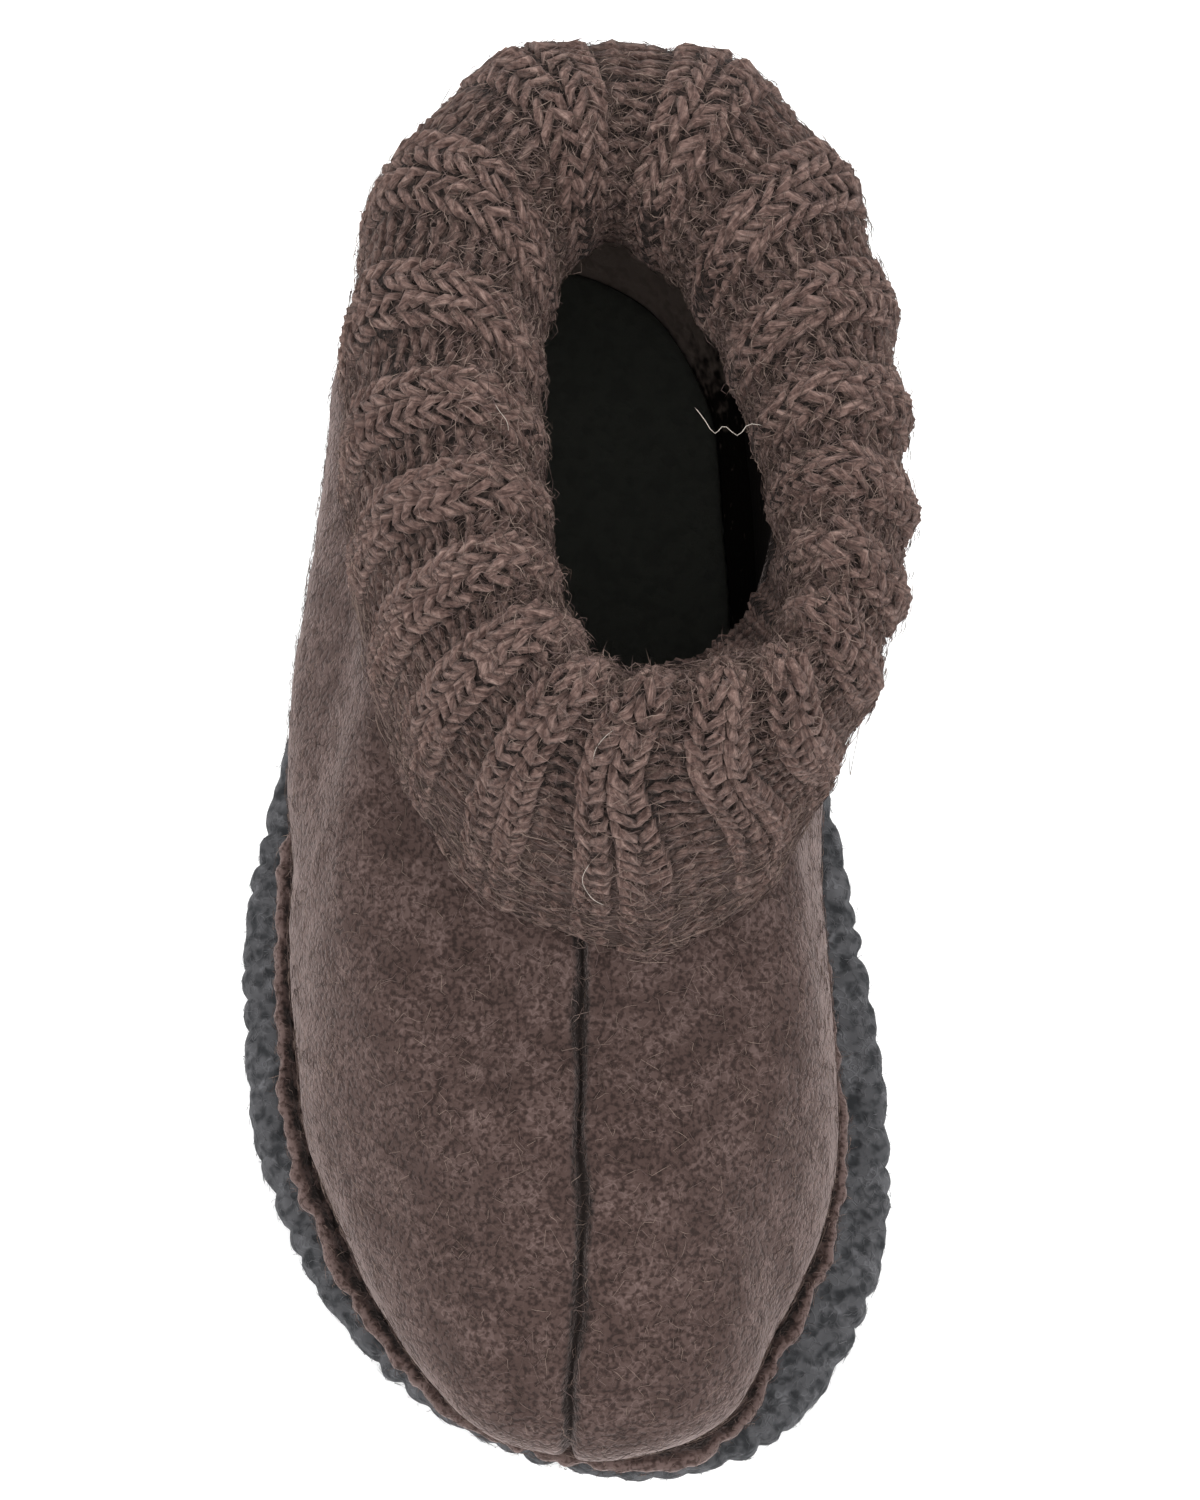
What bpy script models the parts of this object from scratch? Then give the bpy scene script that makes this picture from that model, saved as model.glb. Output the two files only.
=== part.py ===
"""A child's ankle slipper: boiled wool upper, thick felt sole, turned-down rib knit cuff.

Metres, +Z up. The toe points along -Y and the heel along +Y. This is a right slipper, so the
inner (big toe) side is +X. The origin is on the floor, under the middle of the sole.
"""

import math

import bpy
import numpy as np

MM = 0.001

# Driving sizes
SOLE_LENGTH = 174 * MM
SOLE_WIDTH = 85 * MM
SOLE_BACK = 0.7 * MM
SOLE_THICKNESS = 7.0 * MM
TOE_SPRING = 5.0 * MM
ARCH_LIFT = 1.4 * MM
FELT_WALL = 3.0 * MM
FLANGE_WIDTH = 2.4 * MM
FLANGE_THICKNESS = 2.2 * MM
INSOLE_THICKNESS = 3.5 * MM
KNIT_WALL = 3.4 * MM
JOINT_GAP = 0.3 * MM
FLAP_GAP = 0.9 * MM

# Sole edge: whip stitches pinch it into scallops
SCALLOPS = 84
SCALLOP_STEPS = 3
SCALLOP_DEPTH = 1.3 * MM

# Rib knit: repeats of two raised and two sunken wales, drawn closer together over the instep.
# The shift, a share of one rib, turns the knit round the ankle from the middle of the heel.
RIBS = 18
RIB_STEPS = 7
RIB_DEPTH = 1.4 * MM
RIB_SHIFT = 0.35
FRONT_CROWDING = 0.05

# Sole outline and how far the upper's flange stands in from its edge. Stations run from the
# heel (0) to the toe (1). Half widths and margins are in millimetres. The upper's toe overhangs
# the sole, so the sole's middle lies SOLE_BACK behind the origin.
SOLE_COLUMNS = ("station", "outer", "inner", "outer_margin", "inner_margin")
SOLE_ROWS = (
    (0.00, 0.0, 0.0, 3.4, 3.4),
    (0.04, 17.5, 18.0, 3.4, 3.4),
    (0.14, 29.2, 29.4, 3.2, 3.6),
    (0.28, 32.8, 32.4, 3.0, 4.0),
    (0.42, 36.8, 34.5, 3.6, 5.2),
    (0.55, 42.2, 38.8, 4.7, 6.4),
    (0.65, 43.0, 41.6, 4.7, 6.6),
    (0.75, 41.0, 43.0, 4.4, 6.8),
    (0.84, 34.8, 41.0, 3.8, 7.6),
    (0.92, 24.2, 34.4, 2.0, 7.6),
    (0.97, 11.4, 26.6, 0.5, 5.2),
    (1.00, 0.0, 0.0, 1.5, 1.5),
)
TOE_TIP_X = 9.0 * MM

# Profile of the upper from its base to its top edge, by place round the foot: 0 at the middle
# of the heel, 1 at the seam over the toe. Swell is the fullest point above the base, crown and
# throat lie at a share of the way in from the base to the top edge. Millimetres and shares.
UPPER_COLUMNS = (
    "place", "swell_outer", "swell_inner", "swell_up", "crown_in", "crown_up", "throat_in", "throat_up",
    "flap_outer", "flap_inner",
)
UPPER_ROWS = (
    (0.00, 4.0, 4.0, 26.0, 0.16, 40.0, 0.60, 55.0, 2.50, 2.50),
    (0.25, 5.2, 5.2, 28.0, 0.16, 41.0, 0.60, 55.0, 2.60, 2.50),
    (0.40, 5.6, 5.6, 28.0, 0.18, 41.5, 0.60, 54.0, 2.80, 2.55),
    (0.48, 4.0, 4.0, 27.0, 0.19, 41.0, 0.60, 53.0, 2.95, 2.60),
    (0.56, 1.2, 1.6, 24.0, 0.19, 40.0, 0.60, 51.5, 3.02, 2.68),
    (0.68, 0.6, 0.6, 20.0, 0.20, 38.5, 0.60, 49.5, 3.08, 2.85),
    (0.82, 1.2, 0.6, 19.0, 0.22, 40.0, 0.61, 49.0, 3.10, 3.02),
    (0.90, 3.0, 1.0, 20.0, 0.23, 41.5, 0.62, 49.0, 3.10, 3.06),
    (0.95, 4.8, 3.0, 21.0, 0.23, 42.5, 0.63, 49.5, 3.10, 3.08),
    (1.00, 5.4, 5.4, 21.0, 0.23, 42.5, 0.63, 49.5, 3.10, 3.10),
)
SEAM_TOE_X = -0.8 * MM
SEAM_DEPTH = 1.1 * MM
SEAM_HALF_WIDTH = 1.4 * MM

# Rings of the ankle, in millimetres: centre and half width across, the ring's back and front
# along the foot, and its height at the back and at the front. Then its form, as shares: how far
# its corners are squared at the back and at the front, how much narrower it is at the back, and
# the degrees that it is turned. The opening is an egg, wide and blunt over the instep.
RINGS = {
    "felt_top": (4.2, 22.5, 68.0, 2.0, 70.0, 66.0, 0.02, 0.02, 0.00, 5.0),
    "neck": (6.3, 14.1, 55.4, -2.0, 82.0, 80.0, 0.00, 0.18, 0.22, 9.0),
    "inner_crest": (6.2, 14.6, 57.8, -4.2, 93.0, 91.0, 0.02, 0.18, 0.22, 9.0),
    "crest": (6.3, 20.7, 66.5, -8.2, 98.5, 96.0, 0.04, 0.10, 0.09, 6.5),
    "outer_crest": (5.2, 29.2, 74.5, -14.0, 93.0, 90.0, 0.07, 0.07, 0.00, 5.0),
}
SEAM_TURN = 0.35
FLAP_SAG = 4.0 * MM


def smooth_through(stations, values, at):
    """Monotone cubic through a table's values, level at both ends."""
    x = np.asarray(stations, float)
    y = np.asarray(values, float)
    at = np.asarray(at, float)
    step = np.diff(x)
    rise = np.diff(y) / step
    slope = np.zeros_like(y)
    product = rise[:-1] * rise[1:]
    total = np.where(product > 0, rise[:-1] + rise[1:], 1.0)
    slope[1:-1] = np.where(product > 0, 2 * product / total, 0.0)
    k = np.clip(np.searchsorted(x, at, side="right") - 1, 0, len(step) - 1)
    t = (at - x[k]) / step[k]
    return (
        y[k] * (1 + 2 * t) * (1 - t) ** 2
        + y[k + 1] * (3 - 2 * t) * t**2
        + step[k] * t * (1 - t) * (slope[k] * (1 - t) - slope[k + 1] * t)
    )


def column(rows, columns, name):
    return [row[columns.index(name)] for row in rows]


def line_through(points, at):
    """Smooth lines through rows of points. At counts points: 0 is the first, 1 the second."""
    chord = np.diff(points, axis=1)
    length = np.linalg.norm(chord, axis=2, keepdims=True)
    speed = chord / length
    tangent = np.empty_like(points)
    total = length[:, :-1] + length[:, 1:]
    tangent[:, 1:-1] = (speed[:, :-1] * length[:, 1:] + speed[:, 1:] * length[:, :-1]) / total
    tangent[:, 0] = 1.5 * speed[:, 0] - 0.5 * tangent[:, 1]
    tangent[:, -1] = 1.5 * speed[:, -1] - 0.5 * tangent[:, -2]
    at = np.broadcast_to(at, (points.shape[0], np.shape(at)[-1]))
    k = np.clip(at.astype(int), 0, chord.shape[1] - 1)
    t = (at - k)[..., None]
    row = np.arange(points.shape[0])[:, None]
    reach = length[row, k]
    return (
        points[row, k] * (1 + 2 * t) * (1 - t) ** 2
        + points[row, k + 1] * (3 - 2 * t) * t**2
        + reach * tangent[row, k] * t * (1 - t) ** 2
        - reach * tangent[row, k + 1] * t**2 * (1 - t)
    )


def resampled(line, shares):
    """Points at the given shares of an open line's length in plan."""
    step = np.linalg.norm(np.diff(line[:, :2], axis=0), axis=1)
    length = np.concatenate([[0.0], np.cumsum(step)])
    return np.stack([np.interp(shares * length[-1], length, axis) for axis in line.T], axis=1)


def closed_curve(corners, count):
    """Evenly spaced points on a smooth closed curve through the corners."""
    corners = np.asarray(corners, float)
    wrapped = np.vstack([corners[-2:], corners, corners[:3]])
    at = np.linspace(2, 2 + len(corners), 60 * len(corners) + 1)
    dense = line_through(wrapped[None], at[None])[0]
    return resampled(dense, np.linspace(0, 1, count, endpoint=False))


def outward(loop):
    """Unit normals of a flat closed loop that runs anticlockwise seen from above."""
    tangent = np.roll(loop, -1, axis=0) - np.roll(loop, 1, axis=0)
    normal = np.stack([tangent[:, 1], -tangent[:, 0]], axis=1)
    return normal / np.linalg.norm(normal, axis=1)[:, None]


def sole_outline(count):
    """The sole's edge without scallops: from the heel round the outer side to the toe and back."""
    y = SOLE_LENGTH * (0.5 - np.array(column(SOLE_ROWS, SOLE_COLUMNS, "station")))
    outer = -MM * np.array(column(SOLE_ROWS, SOLE_COLUMNS, "outer"))
    inner = MM * np.array(column(SOLE_ROWS, SOLE_COLUMNS, "inner"))
    corners = [(0.0, y[0])]
    corners += list(zip(outer[1:-1], y[1:-1]))
    corners += [(TOE_TIP_X, y[-1])]
    corners += list(zip(inner[-2:0:-1], y[-2:0:-1]))
    loop = closed_curve(corners, count)
    low, high = loop.min(axis=0), loop.max(axis=0)
    loop = (loop - (low + high) / 2) * np.array([SOLE_WIDTH, SOLE_LENGTH]) / (high - low)
    return loop + np.array([0.0, SOLE_BACK])


def station_of(y):
    """Share of the sole's length from its heel."""
    return np.clip(0.5 - (np.asarray(y) - SOLE_BACK) / SOLE_LENGTH, 0, 1)


def flange_outline(count):
    """The outer edge of the upper's flange, standing in from the sole's edge."""
    loop = sole_outline(count)
    station = station_of(loop[:, 1])
    stations = column(SOLE_ROWS, SOLE_COLUMNS, "station")
    toe = int(np.argmin(loop[:, 1]))
    margin = np.where(
        np.arange(count) < toe,
        smooth_through(stations, column(SOLE_ROWS, SOLE_COLUMNS, "outer_margin"), station),
        smooth_through(stations, column(SOLE_ROWS, SOLE_COLUMNS, "inner_margin"), station),
    )
    return loop - outward(loop) * (margin * MM)[:, None]


def lift(y):
    """Height of the sole's underside: flat at heel and ball, hollow at the arch, sprung at the toe."""
    station = station_of(y)
    arch = np.clip((station - 0.28) / (0.58 - 0.28), 0, 1)
    toe = np.clip((station - 0.72) / (1.0 - 0.72), 0, 1)
    return ARCH_LIFT * np.sin(math.pi * arch) ** 2 + TOE_SPRING * toe**2


def bed(y):
    """Height of the sole's top face."""
    return lift(y) + SOLE_THICKNESS


def ring_angle(place):
    """Angle round the ankle, from its back, that belongs to a place round the foot."""
    return math.pi * (place + 0.165 * np.sin(math.pi * place))


def place_of(angle):
    table = np.linspace(0, 1, 400)
    return np.interp(angle, ring_angle(table), table)


def ring_point(name, side, angle):
    """Points of a ring of the ankle. Side is -1 on the outer and 1 on the inner side."""
    centre_x, half_width, back, front, height_back, height_front, *form = RINGS[name]
    square_back, square_front, taper, twist = form
    turn = side * angle + SEAM_TURN * (0.5 - 0.5 * np.cos(angle))
    share = 0.5 + 0.5 * np.cos(turn)
    squareness = square_front + (square_back - square_front) * share
    fullness = 1 + squareness * (0.5 - 0.5 * np.cos(4 * turn))
    x = half_width * np.sin(turn) * fullness * (1 - taper * np.cos(turn))
    y = (back - front) / 2 * np.cos(turn) * fullness
    twist = math.radians(twist)
    turned_x = centre_x + x * math.cos(twist) - y * math.sin(twist)
    turned_y = (back + front) / 2 + x * math.sin(twist) + y * math.cos(twist)
    return MM * np.stack([turned_x, turned_y, height_front + (height_back - height_front) * share], -1)


def columns_of(places):
    """Sides and places of the columns round the foot, from the heel by the outer side and back."""
    outer = [(-1.0, place) for place in places]
    inner = [(1.0, place) for place in places[-2:0:-1]]
    return np.array(outer + inner).T


def base_columns(side, place):
    """Points of the wall's base line in plan at each column, and the ways out from it."""
    flange = flange_outline(1200)
    wall = flange - outward(flange) * FLANGE_WIDTH
    joined = np.hstack([wall, outward(wall)])
    front = np.where(wall[:, 1] < -0.4 * SOLE_LENGTH)[0]
    seam = front[np.argmin(np.abs(wall[front, 0] - SEAM_TOE_X))]
    outer_half = joined[: seam + 1]
    inner_half = np.vstack([joined[:1], joined[: seam - 1 : -1]])
    rows = np.where(
        side[:, None] < 0, resampled(outer_half, place), resampled(inner_half, place)
    )
    return rows[:, :2], rows[:, 2:] / np.linalg.norm(rows[:, 2:], axis=1)[:, None]


def upper_profiles(side, place):
    """Points of the upper's outer face at each column: base, swell, crown, throat, top edge."""
    flat, away = base_columns(side, place)
    places = column(UPPER_ROWS, UPPER_COLUMNS, "place")
    size = {
        name: smooth_through(places, column(UPPER_ROWS, UPPER_COLUMNS, name), place)[:, None]
        for name in UPPER_COLUMNS[1:]
    }
    swell_out = np.where(side[:, None] < 0, size["swell_outer"], size["swell_inner"])
    floor = lift(flat[:, 1])[:, None]
    top = ring_point("felt_top", side, ring_angle(place))
    inward = top[:, :2] - flat
    base = np.hstack([flat, floor + SOLE_THICKNESS + JOINT_GAP + FLANGE_THICKNESS])
    swell = np.hstack([flat + away * MM * swell_out, floor + MM * size["swell_up"]])
    crown = np.hstack([flat + inward * size["crown_in"], MM * size["crown_up"]])
    throat = np.hstack([flat + inward * size["throat_in"], MM * size["throat_up"]])
    flap_end = np.where(side[:, None] < 0, size["flap_outer"], size["flap_inner"])
    return np.stack([base, swell, crown, throat, top], axis=1), flap_end


def grid_normals(grid):
    """Unit normals of a grid of points that closes round its first axis, pointing outwards."""
    round_way = np.roll(grid, -1, axis=0) - np.roll(grid, 1, axis=0)
    up_way = np.gradient(grid, axis=1)
    normal = np.cross(round_way, up_way)
    return normal / np.linalg.norm(normal, axis=2)[:, :, None]


def material(name, colour, roughness):
    made = bpy.data.materials.new(name)
    made.use_nodes = True
    shader = made.node_tree.nodes["Principled BSDF"]
    shader.inputs["Base Color"].default_value = (*colour, 1.0)
    shader.inputs["Roughness"].default_value = roughness
    shader.inputs["Metallic"].default_value = 0.0
    return made


def add_object(name, grid, faces, finish, parent):
    mesh = bpy.data.meshes.new(name)
    mesh.from_pydata([tuple(point) for point in grid.reshape(-1, 3)], [], faces)
    mesh.update()
    mesh.shade_smooth()
    mesh.set_sharp_from_angle(angle=math.radians(50))
    made = bpy.data.objects.new(name, mesh)
    made.data.materials.append(finish)
    made.parent = parent
    bpy.context.scene.collection.objects.link(made)
    return made


def ring_faces(columns, rows, closed_rows):
    """Quads of a grid of points, closed round the columns, and round the rows if asked."""
    faces = []
    for i in range(columns):
        after = (i + 1) % columns
        for j in range(rows if closed_rows else rows - 1):
            above = (j + 1) % rows
            faces.append((i * rows + j, after * rows + j, after * rows + above, i * rows + above))
    return faces


def slab_faces(columns, rows):
    """A grid closed round its columns, with its first and last rows filled across the foot."""
    faces = ring_faces(columns, rows, closed_rows=False)
    for row, under in ((0, True), (rows - 1, False)):
        for i in range(columns // 2):
            across = list(dict.fromkeys([i, i + 1, columns - i - 1, (columns - i) % columns]))
            corners = [k * rows + row for k in across]
            if len(corners) > 2:
                faces.append(tuple(reversed(corners)) if under else tuple(corners))
    return faces


def make_outsole(finish, parent):
    """Thick felt sole with a rounded edge that whip stitches pinch into scallops."""
    count = SCALLOPS * SCALLOP_STEPS
    loop = sole_outline(count)
    normal = outward(loop)
    pinch = np.where(np.arange(count) % SCALLOP_STEPS == 0, 1.0, 0.0)
    # Inset from the edge in millimetres, height as a share of the thickness, share of the pinch.
    edge_rows = ((4.5, 0.0, 0.0), (1.5, 0.06, 0.6), (0.0, 0.5, 1.0), (1.3, 0.96, 0.6), (4.5, 1.0, 0.0))
    rows = []
    for inset, share, take in edge_rows:
        flat = loop - normal * (inset * MM + take * SCALLOP_DEPTH * pinch)[:, None]
        height = share + take * 0.10 * pinch * np.sign(0.5 - share)
        rows.append(np.column_stack([flat, lift(flat[:, 1]) + SOLE_THICKNESS * height]))
    grid = np.stack(rows, axis=1)
    return add_object("outsole", grid, slab_faces(count, len(rows)), finish, parent)


def make_insole(finish, parent):
    """Felt insole lying inside the upper, on the sole."""
    count = 72
    loop = flange_outline(count)
    inset = FLANGE_WIDTH + FELT_WALL + 1.5 * JOINT_GAP
    rows = []
    for more, height in ((0.0, 0.0), (0.0, INSOLE_THICKNESS - 0.8 * MM), (0.8 * MM, INSOLE_THICKNESS)):
        flat = loop - outward(loop) * (inset + more)
        rows.append(np.column_stack([flat, bed(flat[:, 1]) + JOINT_GAP + height]))
    grid = np.stack(rows, axis=1)
    return add_object("insole", grid, slab_faces(count, len(rows)), finish, parent)


def make_upper(finish, parent):
    """One wall of boiled wool: flange on the sole, grooved seam over the toe, open top and base."""
    places = np.concatenate([np.linspace(0, 0.976, 29), [0.984, 0.990, 0.995, 1.0]])
    side, place = columns_of(places)
    profiles, _ = upper_profiles(side, place)
    outer = line_through(profiles, np.linspace(0, 4, 13)[None])
    normal = grid_normals(outer)
    inner = (outer - normal * FELT_WALL)[:, 2::2]
    from_seam = np.linalg.norm(outer - outer[np.argmax(place)], axis=2)
    groove = SEAM_DEPTH * np.exp(-((from_seam / SEAM_HALF_WIDTH) ** 2)) * (place > 0.9)[:, None]
    outer = outer - normal * groove[:, :, None]
    flat, away = base_columns(side, place)
    floor = bed(flat[:, 1]) + JOINT_GAP
    # Distance out from the wall's base and height above the sole: flange and groove.
    foot_rows = (
        (-FELT_WALL, 4.0 * MM),
        (-FELT_WALL, 0.0),
        (FLANGE_WIDTH - 0.3 * MM, 0.0),
        (FLANGE_WIDTH, FLANGE_THICKNESS * 0.6),
        (FLANGE_WIDTH - 0.7 * MM, FLANGE_THICKNESS),
        (0.5 * MM, FLANGE_THICKNESS * 0.6),
    )
    section = [np.column_stack([flat + away * out, floor + up]) for out, up in foot_rows]
    section += list(outer.swapaxes(0, 1))
    section += list(inner[:, ::-1].swapaxes(0, 1))
    grid = np.stack(section, axis=1)
    faces = ring_faces(grid.shape[0], grid.shape[1], closed_rows=True)
    return add_object("upper", grid, faces, finish, parent)


def crest_columns(count):
    """Sides and angles of the cuff's columns, spaced along its crest and closer at the front."""
    turn = np.linspace(0, 2 * math.pi, 2001)
    crest = ring_point("crest", np.where(turn < math.pi, -1.0, 1.0), np.minimum(turn, 2 * math.pi - turn))
    length = np.concatenate([[0.0], np.cumsum(np.linalg.norm(np.diff(crest, axis=0), axis=1))])
    share = length / length[-1]
    crowded = share - FRONT_CROWDING * np.sin(2 * math.pi * share)
    even = np.interp((np.arange(count) / count + RIB_SHIFT / RIBS) % 1.0, crowded, turn)
    return np.where(even < math.pi, -1.0, 1.0), np.minimum(even, 2 * math.pi - even)


def make_cuff(finish, parent):
    """Rib knit tube sewn to the top of the upper, turned out over its crest and down as a flap."""
    count = RIBS * RIB_STEPS
    side, angle = crest_columns(count)
    profiles, flap_end = upper_profiles(side, place_of(angle))
    lying = line_through(profiles, flap_end + np.array([[0.0, 0.05]]))
    off = grid_normals(lying)[:, 0]
    end = lying[:, 0] + off * (FLAP_GAP + KNIT_WALL / 2)
    start = ring_point("felt_top", side, angle)
    into = np.column_stack([outward(start[:, :2]), np.zeros(count)])
    start = start - into * FELT_WALL / 2 + np.array([0.0, 0.0, JOINT_GAP])
    rings = [ring_point(name, side, angle) for name in ("neck", "inner_crest", "crest", "outer_crest")]
    sag = (rings[-1] + end) / 2 + off * FLAP_SAG
    path = np.stack([start, *rings, sag, end], axis=1)
    middle = line_through(path, np.array([[0, 0.5, 1, 1.6, 2.1, 2.55, 3, 3.45, 4, 4.5, 5, 5.5, 6]]))
    normal = -grid_normals(middle)
    rib = 0.5 + 0.5 * np.cos(2 * math.pi * np.arange(count) / RIB_STEPS)
    shown = middle + normal * (KNIT_WALL / 2 + RIB_DEPTH * (rib - 0.5))[:, None, None]
    hidden = (middle - normal * KNIT_WALL / 2)[:, ::2]
    shown[:, 0, 2] = start[:, 2]
    hidden[:, 0, 2] = start[:, 2]
    grid = np.concatenate([hidden, shown[:, ::-1]], axis=1)
    faces = ring_faces(count, grid.shape[1], closed_rows=True)
    return add_object("cuff", grid, faces, finish, parent)


def main():
    for old in list(bpy.data.objects):
        bpy.data.objects.remove(old)
    slipper = bpy.data.objects.new("slipper", None)
    bpy.context.scene.collection.objects.link(slipper)
    brown_felt = material("brown_felt", (0.110, 0.072, 0.066), 0.95)
    grey_felt = material("grey_felt", (0.070, 0.068, 0.073), 0.95)
    brown_knit = material("brown_knit", (0.110, 0.072, 0.062), 0.95)
    dark_felt = material("dark_felt", (0.030, 0.028, 0.027), 0.95)
    make_outsole(grey_felt, slipper)
    make_insole(dark_felt, slipper)
    make_upper(brown_felt, slipper)
    make_cuff(brown_knit, slipper)


main()
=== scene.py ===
import math

import bmesh
import bpy
import numpy as np
from mathutils import Matrix, Vector, noise


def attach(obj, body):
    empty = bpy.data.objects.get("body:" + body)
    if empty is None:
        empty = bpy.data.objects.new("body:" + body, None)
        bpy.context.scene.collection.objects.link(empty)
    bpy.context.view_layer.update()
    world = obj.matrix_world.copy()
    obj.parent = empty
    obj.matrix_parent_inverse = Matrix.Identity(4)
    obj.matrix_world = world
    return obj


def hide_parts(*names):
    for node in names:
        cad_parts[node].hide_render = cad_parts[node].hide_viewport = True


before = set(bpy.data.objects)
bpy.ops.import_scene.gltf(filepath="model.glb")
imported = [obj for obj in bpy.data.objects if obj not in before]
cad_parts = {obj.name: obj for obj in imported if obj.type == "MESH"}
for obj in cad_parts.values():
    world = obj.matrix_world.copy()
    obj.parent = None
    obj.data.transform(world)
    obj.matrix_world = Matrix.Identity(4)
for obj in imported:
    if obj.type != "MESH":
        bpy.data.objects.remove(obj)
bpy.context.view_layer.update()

# Outsole: a thick slab of grey melange felt, cut to the foot, hollow at the arch, sprung at the toe.
# Whip stitches in matching wool pinch its rim all round, so the edge stands in uneven scallops.
# It stands on the floor and carries the upper on its top face.
MM = 0.001
SOLE_LENGTH = 174 * MM
SOLE_WIDTH = 85 * MM
SOLE_BACK = 0.7 * MM
SOLE_THICKNESS = 7.0 * MM
TOE_SPRING = 5.0 * MM
ARCH_LIFT = 1.4 * MM
ARCH_FROM = 0.28
ARCH_TO = 0.58
SPRING_FROM = 0.72
TOE_TIP_X = 9.0 * MM
SCALLOPS = 84
SCALLOP_STEPS = 12
SCALLOP_DEPTH = 0.95 * MM
SCALLOP_TUCK = 0.07
PINCH_SHARPNESS = 1.3
RIM_ROUND = 4.0 * MM
RIM_POWER = 0.7
RIM_STEPS = 15
FACE_SHARES = (0.0, 0.3, 0.6, 0.85)

# The whip stitches drift round the rim in waves, each given by its size, its count and its start.
STITCH_DRIFT = ((0.7, 11, 0.0), (0.55, 23, 1.3))

# Lumps of the felt in layers, each given by its height and its size in millimetres.
SOLE_LUMPS = ((0.32, 5.0), (0.20, 1.8))

# Half widths and the upper's margins in millimetres, by share of the length from heel to toe.
SOLE_COLUMNS = ("station", "outer", "inner", "outer_margin", "inner_margin")
SOLE_ROWS = (
    (0.00, 0.0, 0.0, 3.4, 3.4),
    (0.04, 17.5, 18.0, 3.4, 3.4),
    (0.14, 29.2, 29.4, 3.2, 3.6),
    (0.28, 32.8, 32.4, 3.0, 4.0),
    (0.42, 36.8, 34.5, 3.6, 5.2),
    (0.55, 42.2, 38.8, 4.7, 6.4),
    (0.65, 43.0, 41.6, 4.7, 6.6),
    (0.75, 41.0, 43.0, 4.4, 6.8),
    (0.84, 34.8, 41.0, 3.8, 7.6),
    (0.92, 24.2, 34.4, 2.0, 7.6),
    (0.97, 11.4, 26.6, 0.5, 5.2),
    (1.00, 0.0, 0.0, 1.5, 1.5),
)


def column(rows, columns, name):
    return [row[columns.index(name)] for row in rows]


def smooth_through(stations, values, at):
    """Monotone cubic through a table's values, level at both ends."""
    x = np.asarray(stations, float)
    y = np.asarray(values, float)
    at = np.asarray(at, float)
    step = np.diff(x)
    rise = np.diff(y) / step
    slope = np.zeros_like(y)
    product = rise[:-1] * rise[1:]
    total = np.where(product > 0, rise[:-1] + rise[1:], 1.0)
    slope[1:-1] = np.where(product > 0, 2 * product / total, 0.0)
    k = np.clip(np.searchsorted(x, at, side="right") - 1, 0, len(step) - 1)
    t = (at - x[k]) / step[k]
    return (
        y[k] * (1 + 2 * t) * (1 - t) ** 2
        + y[k + 1] * (3 - 2 * t) * t**2
        + step[k] * t * (1 - t) * (slope[k] * (1 - t) - slope[k + 1] * t)
    )


def line_through(points, at):
    """Smooth lines through rows of points. At counts points: 0 is the first, 1 the second."""
    chord = np.diff(points, axis=1)
    length = np.linalg.norm(chord, axis=2, keepdims=True)
    speed = chord / length
    tangent = np.empty_like(points)
    total = length[:, :-1] + length[:, 1:]
    tangent[:, 1:-1] = (speed[:, :-1] * length[:, 1:] + speed[:, 1:] * length[:, :-1]) / total
    tangent[:, 0] = 1.5 * speed[:, 0] - 0.5 * tangent[:, 1]
    tangent[:, -1] = 1.5 * speed[:, -1] - 0.5 * tangent[:, -2]
    at = np.broadcast_to(at, (points.shape[0], np.shape(at)[-1]))
    k = np.clip(at.astype(int), 0, chord.shape[1] - 1)
    t = (at - k)[..., None]
    row = np.arange(points.shape[0])[:, None]
    reach = length[row, k]
    return (
        points[row, k] * (1 + 2 * t) * (1 - t) ** 2
        + points[row, k + 1] * (3 - 2 * t) * t**2
        + reach * tangent[row, k] * t * (1 - t) ** 2
        - reach * tangent[row, k + 1] * t**2 * (1 - t)
    )


def resampled(line, shares):
    """Points at the given shares of an open line's length in plan."""
    step = np.linalg.norm(np.diff(line[:, :2], axis=0), axis=1)
    length = np.concatenate([[0.0], np.cumsum(step)])
    return np.stack([np.interp(shares * length[-1], length, axis) for axis in line.T], axis=1)


def unit(ways):
    return ways / np.linalg.norm(ways, axis=-1, keepdims=True)


def outward(loop):
    """Unit normals of a flat closed loop that runs anticlockwise seen from above."""
    tangent = np.roll(loop, -1, axis=0) - np.roll(loop, 1, axis=0)
    return unit(np.stack([tangent[:, 1], -tangent[:, 0]], axis=1))


def sole_outline(count):
    """The sole's edge without scallops: from the heel round the outer side to the toe and back."""
    y = SOLE_LENGTH * (0.5 - np.array(column(SOLE_ROWS, SOLE_COLUMNS, "station")))
    outer = -MM * np.array(column(SOLE_ROWS, SOLE_COLUMNS, "outer"))
    inner = MM * np.array(column(SOLE_ROWS, SOLE_COLUMNS, "inner"))
    corners = [(0.0, y[0])]
    corners += list(zip(outer[1:-1], y[1:-1]))
    corners += [(TOE_TIP_X, y[-1])]
    corners += list(zip(inner[-2:0:-1], y[-2:0:-1]))
    corners = np.array(corners)
    wrapped = np.vstack([corners[-2:], corners, corners[:3]])
    at = np.linspace(2, 2 + len(corners), 60 * len(corners) + 1)
    dense = line_through(wrapped[None], at[None])[0]
    loop = resampled(dense, np.linspace(0, 1, count, endpoint=False))
    low, high = loop.min(axis=0), loop.max(axis=0)
    loop = (loop - (low + high) / 2) * np.array([SOLE_WIDTH, SOLE_LENGTH]) / (high - low)
    return loop + np.array([0.0, SOLE_BACK])


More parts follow.
